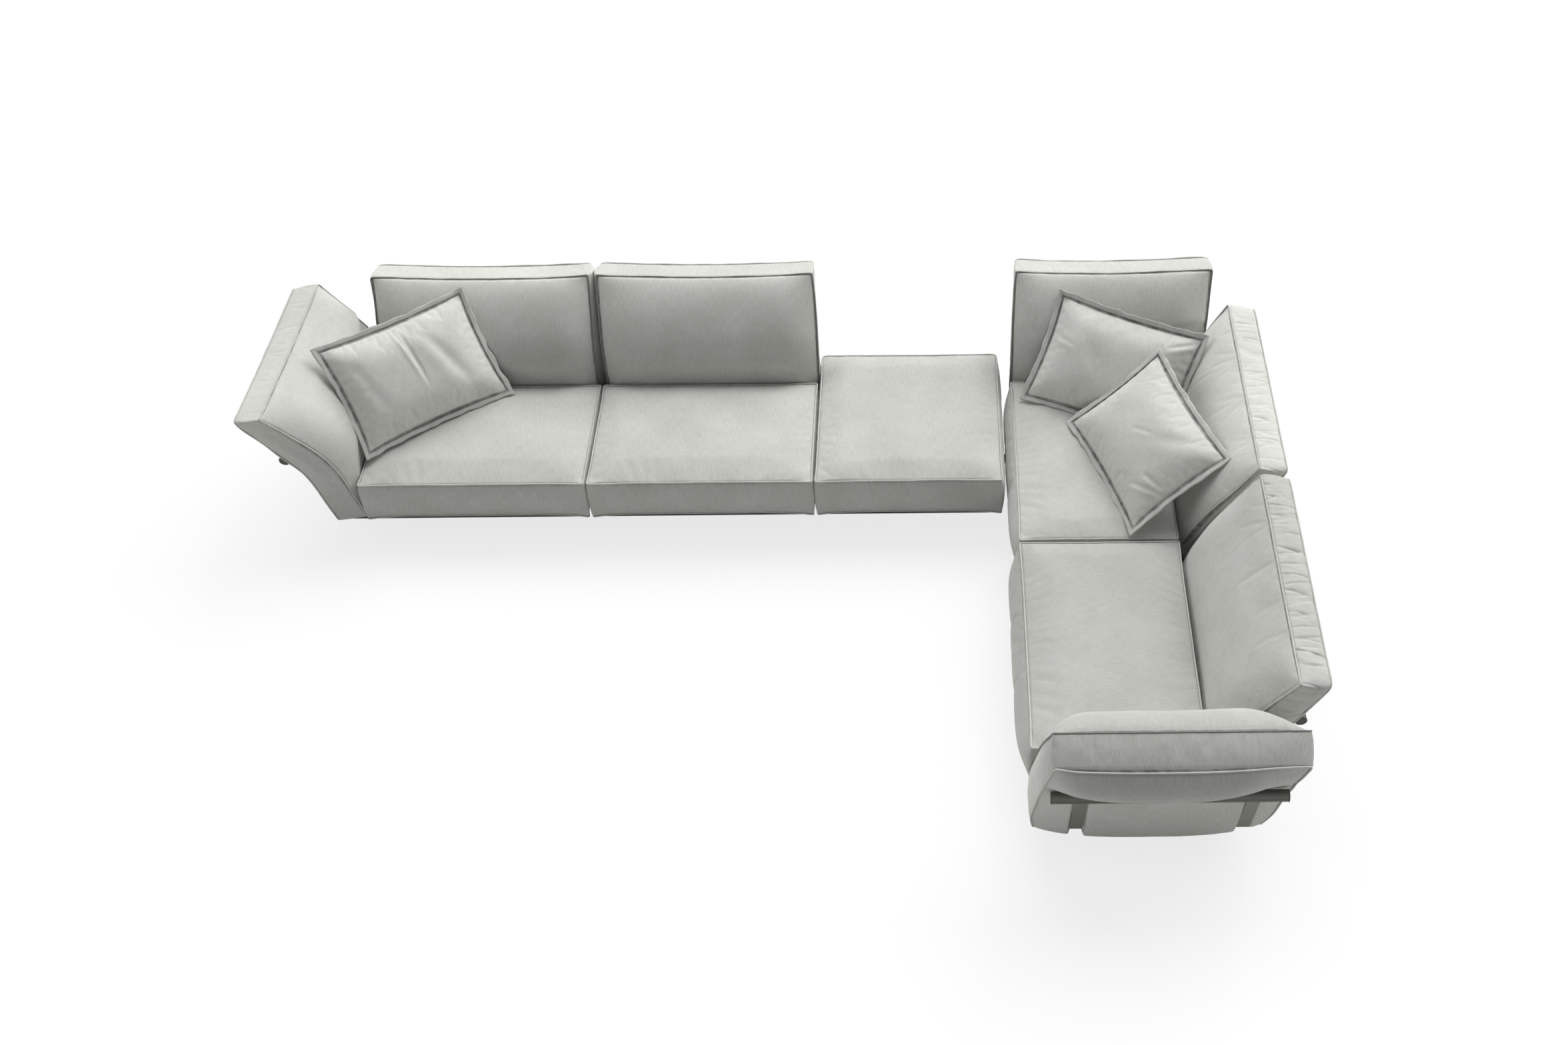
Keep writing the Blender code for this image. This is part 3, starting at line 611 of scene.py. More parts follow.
def powder_coat(name, colour, roughness):
    """Powder-coated steel: satin, with the fine orange peel of a baked coat and slightly rubbed patches."""
    finish, tree, shader = new_finish(name)
    place = add_node(tree, "ShaderNodeTexCoord").outputs["Object"]
    grain, patch, lift, spread = 2.5 * MM, 90 * MM, 1.18, 0.07
    peel = add_node(tree, "ShaderNodeTexNoise", {"Vector": place, "Scale": 1 / grain, "Detail": 2.0})
    rubbed = add_node(tree, "ShaderNodeTexNoise", {"Vector": place, "Scale": 1 / patch, "Detail": 4.0})
    lighter = tuple(min(1.0, value * lift) for value in colour[:3]) + (1.0,)
    mixed = add_node(
        tree, "ShaderNodeMix", {"Factor": rubbed.outputs["Fac"], "A": tuple(colour), "B": lighter},
        data_type="RGBA",
    )
    rough = add_node(
        tree, "ShaderNodeMapRange",
        {"Value": rubbed.outputs["Fac"], "To Min": roughness - spread, "To Max": roughness + spread},
    )
    bump = add_node(
        tree, "ShaderNodeBump", {"Height": peel.outputs["Fac"], "Strength": 0.25, "Distance": 0.4 * MM}
    )
    tree.links.new(mixed.outputs["Result"], shader.inputs["Base Color"])
    tree.links.new(rough.outputs[0], shader.inputs["Roughness"])
    tree.links.new(bump.outputs[0], shader.inputs["Normal"])
    return finish


def moulded_nylon(name, colour):
    """Moulded nylon with a fine spark-eroded grain: dull, a little lighter where it is worn."""
    finish, tree, shader = new_finish(name)
    place = add_node(tree, "ShaderNodeTexCoord").outputs["Object"]
    grain, lift = 1.2 * MM, 1.25
    spark = add_node(tree, "ShaderNodeTexNoise", {"Vector": place, "Scale": 1 / grain, "Detail": 3.0})
    lighter = tuple(min(1.0, value * lift) for value in colour[:3]) + (1.0,)
    mixed = add_node(
        tree, "ShaderNodeMix", {"Factor": spark.outputs["Fac"], "A": tuple(colour), "B": lighter},
        data_type="RGBA",
    )
    bump = add_node(
        tree, "ShaderNodeBump", {"Height": spark.outputs["Fac"], "Strength": 0.3, "Distance": 0.3 * MM}
    )
    tree.links.new(mixed.outputs["Result"], shader.inputs["Base Color"])
    tree.links.new(bump.outputs[0], shader.inputs["Normal"])
    shader.inputs["Roughness"].default_value = 0.6
    return finish


def shared_finish(name):
    """Make a named finish once."""
    found = bpy.data.materials.get(name)
    if found is not None:
        return found
    finishes = bpy.context.scene.sofa_finishes
    if name == "outdoor_linen_cover":
        return woven_fabric(name, True)
    if name == "outdoor_linen_piping":
        return woven_fabric(name, False)
    # Piping darkened as painted shade, for rims that lie in shade
    if name == "soiled_linen_piping":
        return woven_fabric(name, False, SHADED_PIPING_TONE)
    if name in PAINTS:
        colour, roughness = PAINTS[name]
        return powder_coat(name, getattr(finishes, colour), roughness)
    return moulded_nylon(name, finishes.cap)


# Covers


def bulge(position, power=3.0):
    """One in the middle of a span from -1 to 1, falling to nothing at its ends."""
    return max(0.0, 1.0 - abs(position) ** power)


def rise(distance, band, power=2.3):
    """Nothing at an edge, one from a band's width inwards."""
    return 1.0 - (1.0 - min(1.0, max(0.0, distance) / band)) ** power


def eased_rise(distance, band):
    """Nothing at an edge, steep beside it, and ever flatter inwards."""
    return 1.0 - math.exp(-3.0 * max(0.0, distance) / band)


def wander(point, size, seed=0.0):
    """Smooth noise from -1 to 1 that changes over a size."""
    return noise.noise(point / size + Vector((seed, 3.1 * seed, 0)))


def crumpled(point, kind):
    """How far the cloth stands out at a point, for one kind of hollow, pucker or dent."""
    return kind.depth * wander(point, kind.size, kind.seed)


def share_of(value):
    """A value kept between nothing and one."""
    return min(1.0, max(0.0, value))


def graded_lines(length, marks=(), cell=CELL, edge_cell=EDGE_CELL):
    """Places of a grid's lines along a length, closer together at its ends and at each mark."""
    stops = [0.0, *marks, length]
    lines = [0.0]
    for start, end in zip(stops, stops[1:]):
        half = (end - start) / 2
        steps = [min(half, edge_cell)]
        while sum(steps) + steps[-1] / 2 < half:
            steps.append(min(cell, steps[-1] * CELL_GROWTH))
        ratio = half / sum(steps)
        for step in [*steps, *reversed(steps)]:
            lines.append(lines[-1] + step * ratio)
    return lines


def gridded_block(counts):
    """Cube from 0 to 1 whose sides are cut into a grid."""
    bm = bmesh.new()
    bmesh.ops.create_cube(bm, size=1.0, matrix=Matrix.Translation((0.5, 0.5, 0.5)))
    for axis, count in enumerate(counts):
        along = [e for e in bm.edges if abs(e.verts[0].co[axis] - e.verts[1].co[axis]) > 0.5]
        bmesh.ops.subdivide_edges(bm, edges=along, cuts=count - 1, use_grid_fill=True)
    return bm


def seam_distance(place, lengths, piped):
    """Distance along the cloth to the nearest piping, which goes round the panels at a piped axis."""
    to_ends = [min(place[axis], lengths[axis] - place[axis]) for axis in range(3)]
    on_face = min(to_ends[axis] for axis in range(3) if axis != piped)
    return max(to_ends[piped], on_face)


def sewn_cover(name, lines, point_at, weave_ways, seed, piped, seam_narrowing):
    """Closed cover cut on a grid.

    A function places each point from its three lines' places, and each panel's weave follows two of
    the three.  The cut's shares are kept as an attribute, and the weave's place as a UV map.  So is
    the distance to the piping, times a factor for each of its two rims that narrows the dip into the
    seam and the line of painted shade beside it.  So is a tone of painted light and shade, from the
    cover's foot to its top.
    """
    counts = [len(line) - 1 for line in lines]
    bm = gridded_block(counts)
    cut = bm.verts.layers.float_vector.new(CUT)
    seam = bm.verts.layers.float.new(SEAM)
    tone = bm.verts.layers.float.new(TONE)
    low_tone, top_tone = PAINTED_LIGHT_TONES.get(name, (1.0, 1.0))
    lengths = [line[-1] for line in lines]
    weave = bm.loops.layers.uv.new(WEAVE)
    bm.verts.index_update()
    index = {}
    keys = []
    for vert in bm.verts:
        key = tuple(round(vert.co[axis] * counts[axis]) for axis in range(3))
        index[key] = vert.index
        keys.append(key)
    for face in bm.faces:
        panel = [axis for axis in range(3) if len({keys[v.index][axis] for v in face.verts}) == 1][0]
        across, down = weave_ways[panel]
        for loop in face.loops:
            key = keys[loop.vert.index]
            u = lines[across][key[across]] + WEAVE_STEP * seed
            v = lines[down][key[down]] + PANEL_STEP * panel
            loop[weave].uv = (u, v)
        face.smooth = True
    for vert in bm.verts:
        key = keys[vert.index]
        place = [lines[axis][key[axis]] for axis in range(3)]
        vert[cut] = Vector([place[axis] / lengths[axis] for axis in range(3)])
        # Painted light and shade, graded from the cover's foot to its top
        painted_light = share_of((vert[cut].z - PAINTED_LIGHT_FROM) / (PAINTED_LIGHT_TO - PAINTED_LIGHT_FROM))
        vert[tone] = low_tone + (top_tone - low_tone) * painted_light
        rim = 0 if place[piped] < lengths[piped] / 2 else 1
        vert[seam] = seam_distance(place, lengths, piped) * seam_narrowing[rim]
        vert.co = point_at(*place)
    thing = new_thing(name, new_mesh(name, bm))
    thing.data.materials.append(shared_finish("outdoor_linen_cover"))
    return Cover(thing, index, counts)


def rim_keys(counts, axis, level):
    """Grid keys in order round the edge of the panel at a level of an axis."""
    across, down = [other for other in range(3) if other != axis]
    wide, high = counts[across], counts[down]
    places = [(k, 0) for k in range(wide)]
    places += [(wide, k) for k in range(high)]
    places += [(wide - k, high) for k in range(wide)]
    places += [(0, high - k) for k in range(high)]
    keys = []
    for one, two in places:
        key = [0, 0, 0]
        key[axis], key[across], key[down] = level, one, two
        keys.append(tuple(key))
    return keys


def fill_covers(covers, pinned_at, pressure, slack, cap):
    """Fill covers side by side with one run of the cloth simulation, and apply it.

    A function says how firmly each grid key is held, from 0 to 1.  No point moves further than the cap.
    """
    scene = bpy.context.scene
    steps = scene.sofa_filling.steps
    for cover in covers:
        held = cover.thing.vertex_groups.new(name="held")
        for key, vert in cover.index.items():
            weight = pinned_at(cover, key)
            if weight > 0:
                held.add([vert], weight, "REPLACE")
        cloth = cover.thing.modifiers.new("filling", "CLOTH")
        for setting, value in CLOTH.items():
            setattr(cloth.settings, setting, value)
        cloth.settings.uniform_pressure_force = pressure
        cloth.settings.shrink_min = -slack
        cloth.settings.vertex_group_mass = held.name
        cloth.settings.effector_weights.gravity = 0.0
        cloth.point_cache.frame_start = 1
        cloth.point_cache.frame_end = steps
    for step in range(1, steps + 1):
        scene.frame_set(step)
    graph = bpy.context.evaluated_depsgraph_get()
    for cover in covers:
        thing = cover.thing
        filled = thing.evaluated_get(graph).to_mesh()
        moved = [vert.co.copy() for vert in filled.vertices]
        thing.evaluated_get(graph).to_mesh_clear()
        thing.modifiers.clear()
        thing.vertex_groups.clear()
        for vert, place in zip(thing.data.vertices, moved):
            way = place - vert.co
            if way.length > cap:
                way *= cap / way.length
            vert.co += way
    scene.frame_set(1)


def smooth_cover(thing):
    """Apply one level of subdivision surface."""
    rounded = thing.modifiers.new("rounded", "SUBSURF")
    rounded.levels = 1
    rounded.render_levels = 1
    graph = bpy.context.evaluated_depsgraph_get()
    mesh = bpy.data.meshes.new_from_object(thing.evaluated_get(graph))
    thing.modifiers.clear()
    old = thing.data
    thing.data = mesh
    bpy.data.meshes.remove(old)
    mesh.name = thing.name


def crease_cover(thing, shift_at):
    """Move each point of a cover along its normal by what a function gives for its cut and place.

    Beside the piping the cloth also dips into the seam.
    """
    mesh = thing.data
    cuts = mesh.attributes[CUT].data
    seams = mesh.attributes[SEAM].data
    moves = []
    for vert in mesh.vertices:
        dip = SEAM_DIP * math.exp(-(((seams[vert.index].value - SEAM_DIP_PLACE) / SEAM_DIP_WIDTH) ** 2))
        moves.append(vert.normal * (shift_at(cuts[vert.index].vector, vert.co) - dip))
    for vert, move in zip(mesh.vertices, moves):
        vert.co += move
    mesh.update()


def cord_mesh(name, paths, radius, finish):
    """Round cords along closed paths, as one mesh."""
    curve = bpy.data.curves.new(name, "CURVE")
    curve.dimensions = "3D"
    curve.bevel_depth = radius
    curve.bevel_resolution = 1
    for path in paths:
        spline = curve.splines.new("POLY")
        spline.points.add(len(path) - 1)
        for point, place in zip(spline.points, path):
            point.co = (*place, 1.0)
        spline.use_cyclic_u = True
        spline.use_smooth = True
    rod = new_thing(name + "_line", curve)
    graph = bpy.context.evaluated_depsgraph_get()
    mesh = bpy.data.meshes.new_from_object(rod.evaluated_get(graph))
    bpy.data.objects.remove(rod)
    bpy.data.curves.remove(curve)
    mesh.materials.clear()
    mesh.materials.append(finish)
    return new_thing(name, mesh)


def rounded_path(path, passes=3):
    """Closed path whose corners are eased."""
    for _ in range(passes):
        before = [path[-1], *path[:-1]]
        after = [*path[1:], path[0]]
        path = [(a + 2 * b + c) / 4 for a, b, c in zip(before, path, after)]
    return path


def pipe_cover(cover, name, rims, finish="outdoor_linen_piping"):
    """Piping round some of a cover's panels, sunk a little towards the panels' middles."""
    radius = bpy.context.scene.sofa_covers.piping_diameter / 2
    verts = cover.thing.data.vertices
    paths = []
    for axis, level in rims:
        path = [verts[cover.index[key]].co.copy() for key in rim_keys(cover.counts, axis, level)]
        middle = sum(path, Vector()) / len(path)
        path = [place + (middle - place).normalized() * PIPING_SINK for place in rounded_path(path)]
        paths.append(path)
    return cord_mesh(name, paths, radius, shared_finish(finish))


# Seats


def side_swell(height, belly):
    """How far a seat's side stands out at a height above its underside."""
    swell = belly * math.sin(math.pi * min(1.0, height / SEAT_THICKNESS))
    rounding = max(0.0, 1.0 - height / SEAT_FOOT_HEIGHT)
    return swell - SEAT_FOOT_ROUND * rounding ** 2


def side_belly(kind):
    """How far a seat's side swells, by what it meets there."""
    beside_pouf = RETURN_GAP - FRONT_BELLY - 2 * CUSHION_GAP
    bellies = {"open": FRONT_BELLY, "gap": beside_pouf, "free": RETURN_BELLY}
    return bellies.get(kind, 0.0)


def eased_corner(x, y, half, radius):
    """Point of a rectangle about the origin, with the rectangle's corners rounded."""
    beyond = Vector((abs(x) - half.x + radius, abs(y) - half.y + radius))
    if min(beyond) <= 0:
        return x, y
    beyond *= max(beyond) / beyond.length
    return (
        math.copysign(half.x - radius + beyond.x, x),
        math.copysign(half.y - radius + beyond.y, y),
    )


def seat_point(name, x, y, height):
    """Place of a seat cover's grid point, from its places along the width, depth and thickness."""
    (left, right, front, rear), kinds, _ = SEATS[name]
    covers = bpy.context.scene.sofa_covers
    half = Vector(((right - left) / 2 - CUSHION_GAP / 2, (rear - front) / 2 - CUSHION_GAP / 2))
    middle = Vector(((left + right) / 2, (front + rear) / 2))
    a, b, c = x / half.x - 1, y / half.y - 1, 2 * height / SEAT_THICKNESS - 1
    half -= Vector((PIPING_ROOM, PIPING_ROOM)) * abs(c) ** 3
    radius = POUF_REAR_ROUND if name == "pouf" and b > 0 else SEAT_CORNER
    flat = eased_corner(a * half.x, b * half.y, half, radius)
    draw = SEAT_DRAW_IN * c ** 2
    side_x = kinds[0] if a < 0 else kinds[1]
    side_y = kinds[2] if b < 0 else kinds[3]
    swell_x = side_swell(height, side_belly(side_x)) - draw
    swell_y = side_swell(height, side_belly(side_y)) - draw
    grow_x = swell_x * bulge(b, SIDE_SPREAD) * a ** SIDE_ONSET
    grow_y = swell_y * bulge(a, SIDE_SPREAD) * b ** SIDE_ONSET
    place = Vector((middle.x + flat[0] + grow_x, middle.y + flat[1] + grow_y, height))
    if c > AT_EDGE:
        band = covers.seat_edge_band
        lift = eased_rise((1 - abs(a)) * half.x, band) * eased_rise((1 - abs(b)) * half.y, band)
        place.z += covers.seat_crown * (CROWN_AT_EDGES * lift + CROWN_IN_MIDDLE * bulge(a, 2) * bulge(b, 2))
    if max(abs(a), abs(b)) > AT_EDGE and abs(c) > AT_EDGE:
        seed = TOP_RIM_SEED if c > 0 else LOW_RIM_SEED
        long_wave, short_wave = (wander(place, size, seed) for size in SEAT_WAVERS)
        place.z += covers.waver * (long_wave + 0.5 * short_wave)
    return place + PLAN_ORIGIN


def seat_shift(cut, place):
    """Creases of a seat cover: soft hollows on top and faint puckers beside the piping."""
    edge = min(cut.x, 1 - cut.x, cut.y, 1 - cut.y)
    if cut.z > NEAR_TOP:
        beside = math.exp(-((edge / SEAT_PUCKER_BAND) ** 2))
        hollow = crumpled(place, SEAT_HOLLOWS) * rise(edge, SEAT_HOLLOW_BAND)
        return hollow + crumpled(place, SEAT_PUCKERS) * beside
    return crumpled(place, SEAT_PUCKERS) * math.exp(-(((1 - cut.z) / SIDE_PUCKER_BAND) ** 2))


def seat_held(cover, key):
    """A seat is held at its piping and where it lies on its deck."""
    level = key[2]
    rim = key[0] in (0, cover.counts[0]) or key[1] in (0, cover.counts[1])
    if level == 0 or (rim and level == cover.counts[2]):
        return 1.0
    return 0.0


class SOFA_OT_seats(bpy.types.Operator):
    """Sew, fill and pipe the five seat cushions"""

    bl_idname = "sofa.seats"
    bl_label = "Seat cushions"

    def execute(self, context):
        filling = context.scene.sofa_filling
        covers = {}
        for number, (name, ((left, right, front, rear), _, weave)) in enumerate(SEATS.items()):
            width, depth = right - left - CUSHION_GAP, rear - front - CUSHION_GAP
            lines = [graded_lines(width), graded_lines(depth), graded_lines(SEAT_THICKNESS)]
            ways = {**WEAVE_WAYS, 2: (0, 1) if weave == "deep" else (1, 0)}
            covers[name] = sewn_cover(
                "seat_cover_" + name, lines, lambda x, y, z, seat=name: seat_point(seat, x, y, z),
                ways, number, SEATS_PIPED, SEAT_SEAMS,
            )
        fill_covers(covers.values(), seat_held, filling.seat_pressure, filling.slack, FILLING_CAP)
        for name, cover in covers.items():
            top, body = cover.counts[2], "seat_" + name
            piping = pipe_cover(cover, "seat_piping_" + name, [(2, 0), (2, top)])
            smooth_cover(cover.thing)
            crease_cover(cover.thing, seat_shift)
            for piece in (cover.thing, piping):
                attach(piece, body)
            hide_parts("seat_cushion_" + name)
        return {"FINISHED"}


# Pads


def pad_line(shape, along):
    """Middle line of a pad: distance out, height, and lean at a length from its foot."""
    lower = math.radians(shape.lower_lean)
    upper = math.radians(shape.upper_lean)
    straight = min(along, PAD_BEND_START)
    out = shape.foot + straight * math.sin(lower)
    high = straight * math.cos(lower)
    if along <= PAD_BEND_START:
        return out, high, lower
    rate = (upper - lower) / PAD_BEND_LENGTH
    bent = min(along - PAD_BEND_START, PAD_BEND_LENGTH)
    lean = lower + rate * bent
    out += (math.cos(lower) - math.cos(lean)) / rate
    high += (math.sin(lean) - math.sin(lower)) / rate
    rest = max(0.0, along - PAD_BEND_START - PAD_BEND_LENGTH)
    return out + rest * math.sin(lean), high + rest * math.cos(lean), lean


def pad_offset(shape, along, offset):
    """Point at a distance outwards from the pad's middle line."""
    out, high, lean = pad_line(shape, along)
    return Vector((out + offset * math.cos(lean), high - offset * math.sin(lean)))


def pad_half_thickness(shape, along):
    """Half of a pad's thickness at a length from its foot."""
    share = along / shape.height
    return (shape.foot_thickness + (shape.top_thickness - shape.foot_thickness) * share) / 2


def pad_back_crown(shape, along):
    """Crown of the outer face: one lobe under the tube and one above it."""
    crease = shape.bar_offset - BAR_RADIUS + BAR_PRESS - pad_half_thickness(shape, shape.bar_along)
    if along <= shape.bar_along:
        share = (along / shape.bar_along) ** 3
        return PAD_LOW_CROWN * (1 - share) + crease * share
    share = min(1.0, (along - shape.bar_along) / (shape.height - shape.bar_along))
    return crease * (1 - share) + PAD_HIGH_CROWN * math.sin(math.pi * share) ** 0.7


def pad_frame(side):
    """Axes of a side: along the pad, outwards and up, from the cushions' underside."""
    origin, way_along, way_out = SIDES[side]
    frame = Matrix((way_along, way_out, Vector((0, 0, 1)))).transposed().to_4x4()
    frame.translation = origin + PLAN_ORIGIN
    return frame


def face_span(name, start, end, along):
    """Stretch of the inner face that swells, clear of a neighbour that ends against it."""
    spread = share_of((along - FACE_SPREAD_START) / FACE_SPREAD_LENGTH)
    if name == "arm_left":
        clear = min(end, SEAT_DEPTH)
        return start, clear + (end - clear) * spread ** 2
    if name == "arm_front":
        clear = max(start, -RETURN_RIGHT)
        return clear + (start - clear) * spread, end
    if name == "back_corner_rear":
        clear = min(end, RETURN_RIGHT)
        return start, clear + (end - clear) * spread
    return start, end


def bar_ends(name):
    """Ends of the tube behind a pad."""
    side, start, end, start_shift, end_shift = PADS[name][:5]
    share = PAD_SHAPES[side].bar_along / PAD_SHAPES[side].height
    return start + start_shift * share + BAR_END_INSET, end + end_shift * share - BAR_END_INSET


def upright_places(name):
    """Middles of the two uprights along a pad."""
    ends = bar_ends(name)
    return ends[0] + UPRIGHT_END_INSET, ends[1] - UPRIGHT_END_INSET


def upright_line(shape):
    """Inner line of an upright: a point on it and its way outwards."""
    lean = math.radians(shape.lower_lean)
    outwards = Vector((math.cos(lean), -math.sin(lean)))
    middle = pad_offset(shape, shape.bar_along, shape.bar_offset) - outwards * UPRIGHT_BAR_INSET
    return middle - outwards * UPRIGHT_THICKNESS / 2, outwards


def groove_marks(name):
    """Places along a pad where the edges of its upright grooves are."""
    start = PADS[name][1]
    reach = UPRIGHT_WIDTH / 2 + GROOVE_MARGIN
    marks = []
    for x in upright_places(name):
        marks += [x - reach - start, x + reach - start]
    return marks


def pad_point(name, place, across, along):
    """Place of a pad cover's grid point, from its places along the length, thickness and height."""
    side, start, end, start_shift, end_shift, start_push, end_push = PADS[name]
    shape = PAD_SHAPES[side]
    covers = bpy.context.scene.sofa_covers
    length = end - start
    w = 2 * across / shape.foot_thickness - 1
    at_rim = abs(w) > AT_EDGE and (place in (0.0, length) or along >= shape.height)
    half = Vector((length, shape.height)) / 2
    radius = PAD_CORNER * (1 + w) / 2 if along > half.y else PAD_INNER_CORNER
    eased = eased_corner(place - half.x, along - half.y, half, radius)
    place, share = eased[0] + half.x, (eased[1] + half.y) / shape.height
    sag = PAD_TOP_SAG[side] * bulge(2 * place / length - 1, 2)
    along = share * shape.height + (w * shape.skew - sag) * share ** 6
    marks = groove_marks(name)
    start_zone, end_zone = marks[0] - EDGE_CELL, length - marks[-1] - EDGE_CELL
    x = start + place
    x += start_shift * share * max(0.0, 1 - place / start_zone)
    x += end_shift * share * max(0.0, 1 - (length - place) / end_zone)
    a = 2 * place / length - 1
    foot_share = max(0.0, 1 - share * shape.height / PAD_ROUND_HEIGHT)
    middle = bulge(2 * share - 1, 2)
    low = max(0.0, 1 - share * shape.height / PAD_TAPER_HEIGHT) ** 1.5
    half_way, at_foot = RIM_DRAW[name][0 if a < 0 else 1]
    inner_share = share_of(-RIM_DRAW_FADE * w)
    closing = NEIGHBOUR_PUFF.get(name, (0.0, 0.0))[0 if a < 0 else 1] * share
    pull = PAD_FOOT_ROUND[side] * foot_share ** 2 - (PAD_END_BELLY + closing) * (1 - w ** 2)
    pull += (half_way * middle + at_foot * low) * inner_share
    x -= (pull + PIPING_ROOM * abs(w) ** 3) * a ** PAD_ONSET
    offset = w * pad_half_thickness(shape, along)
    if w < -AT_EDGE:
        swell_from, swell_to = face_span(name, start + start_shift * share, end + end_shift * share, along)
        inside = min(x - swell_from, swell_to - x)
        fullness = max(0.0, math.sin(math.pi * share)) ** shape.fullness
        offset -= shape.crown * fullness * rise(inside, covers.face_edge_band)
    if w > AT_EDGE:
        offset += pad_back_crown(shape, along) * bulge(a)
    spot = pad_offset(shape, along, offset)
    if w > -AT_EDGE:
        spot = pressed(name, shape, x, spot, along)
    out = spot.x + (start_push + (end_push - start_push) * place / length) * share ** 2
    high = spot.y if share > 0 else 0.0
    spot = Vector((x, max(out, CUSHION_GAP / 2), high))
    if at_rim:
        (long_size, long_seed), (short_size, short_seed), (side_size, side_seed) = PAD_WAVERS
        short_wave = PAD_SHORT_WAVER * wander(spot, short_size, short_seed + w)
        spot.z += covers.waver * (wander(spot, long_size, long_seed + w) + short_wave)
        spot.x += covers.waver * PAD_SIDE_WAVER * wander(spot, side_size, side_seed + w)
    return pad_frame(side) @ spot


def pressed(name, shape, x, spot, along):
    """Push a point of the outer face clear of the tube, and of the uprights in their grooves."""
    centre = pad_offset(shape, shape.bar_along, shape.bar_offset)
    way = spot - centre
    clear = BAR_RADIUS + PRESS_CLEARANCE
    if way.length < clear:
        spot = centre + way.normalized() * clear
    if along < shape.bar_along + BAR_RADIUS:
        inner, outwards = upright_line(shape)
        near = min(abs(x - middle) for middle in upright_places(name)) - UPRIGHT_WIDTH / 2
        depth = (spot - inner).dot(outwards) + PRESS_CLEARANCE
        if near < GROOVE_EDGE and depth > 0:
            spot = spot - outwards * depth
    return spot


def pad_held(cover, key):
    """A pad is held at its piping, at its foot and where the tube and uprights press into it."""
    wide, thick, high = cover.counts
    rim = key[0] in (0, wide) or key[2] in (0, high)
    if key[2] == 0 or (rim and key[1] in (0, thick)) or key[1] == thick:
        return 1.0
    return 0.0


class SOFA_OT_pads(bpy.types.Operator):
    """Sew, fill and pipe the five back pads and two arm pads"""

    bl_idname = "sofa.pads"
    bl_label = "Back and arm pads"

    def execute(self, context):
        filling = context.scene.sofa_filling
        covers = {}
        for number, (name, (side, start, end, *_)) in enumerate(PADS.items()):
            shape = PAD_SHAPES[side]
            bar = shape.bar_along
            cell = PUCKERED_CELL if name in BOXING_PUCKERS else CELL
            lines = [
                graded_lines(end - start, groove_marks(name), cell),
                graded_lines(shape.foot_thickness),
                graded_lines(shape.height, (bar - BAR_RADIUS, bar + BAR_RADIUS)),
            ]
            covers[name] = sewn_cover(
                "pad_cover_" + name, lines, lambda x, y, z, pad=name: pad_point(pad, x, y, z),
                WEAVE_WAYS, number + len(SEATS), PADS_PIPED, PAD_SEAMS[side],
            )
        fill_covers(covers.values(), pad_held, filling.seat_pressure, filling.slack, FILLING_CAP)
        for name, cover in covers.items():
            side = PADS[name][0]
            # The inner piping of the rear pads and the front arm is darkened as painted shade
            finish = "soiled_linen_piping" if side in SHADED_PIPING_SIDES else "outdoor_linen_piping"
            inner = pipe_cover(cover, "inner_piping_" + name, [(1, 0)], finish)
            outer = pipe_cover(cover, "outer_piping_" + name, [(1, cover.counts[1])])
            smooth_cover(cover.thing)
            depth = BOXING_PUCKERS.get(name, USUAL_PUCKERS)
            crease_cover(cover.thing, lambda cut, place, d=depth, s=side: pad_shift(cut, place, d, s))
            for piece in (cover.thing, inner, outer):
                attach(piece, "frame")
            node = name.replace("back_", "back_cushion_").replace("arm_", "arm_cushion_")
            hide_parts(node)
        return {"FINISHED"}


def pad_shift(cut, place, depth, side):
    """Creases of a pad cover: puckers across its boxing and soft hollows on its face."""
    top, end = cut.z > BOXING_TOP, min(cut.x, 1 - cut.x) < BOXING_END
    run = place.x if side in ("rear", "front") else place.y
    if top or end:
        band = math.sin(math.pi * share_of(cut.y))
        lengthways = run if top else place.z
        seed = PUCKER_SEED + len(side)
        fold = noise.noise(Vector((lengthways / PUCKER_SPACING, PUCKER_SLANT * cut.y, seed)))
        valley = max(0.0, 1 - abs(fold) / PUCKER_WIDTH) ** 1.3
        spot = Vector((lengthways / PUCKER_RUN_SPACING, PUCKER_RUN_SLANT * cut.y, PUCKER_RUN_SEED))
        reach = max(0.0, min(PUCKER_LONGEST, PUCKER_RUN + PUCKER_RUN_SPREAD * noise.noise(spot)))
        return depth * (PUCKER_PUFF * band ** 0.7 - PUCKER_DEPTH * valley * reach * band ** 0.4)
    edge = min(cut.x, 1 - cut.x, cut.z, 1 - cut.z)
    beside = math.exp(-((edge / PAD_PUCKER_BAND) ** 2))
    return crumpled(place, PAD_HOLLOWS) * rise(edge, PAD_HOLLOW_BAND) + crumpled(place, PAD_PUCKERS) * beside


# Pillows


def pillow_spot(a, b, width, height):
    """Place in a pillow's flat outline, whose sides are drawn in, for shares from -1 to 1."""
    x = a * (width / 2 - PILLOW_DRAW_IN * bulge(b, 2) * abs(a))
    y = b * (height / 2 - PILLOW_DRAW_IN * bulge(a, 2) * abs(b))
    return x, y + PILLOW_HEIGHT / 2


def pillow_puff(a, b):
    """Share of its puff that a pillow has, from nothing at the seam to one in its middle."""
    return (bulge(a, PUFF_SPREAD) * bulge(b, PUFF_SPREAD)) ** PUFF_ROUNDING


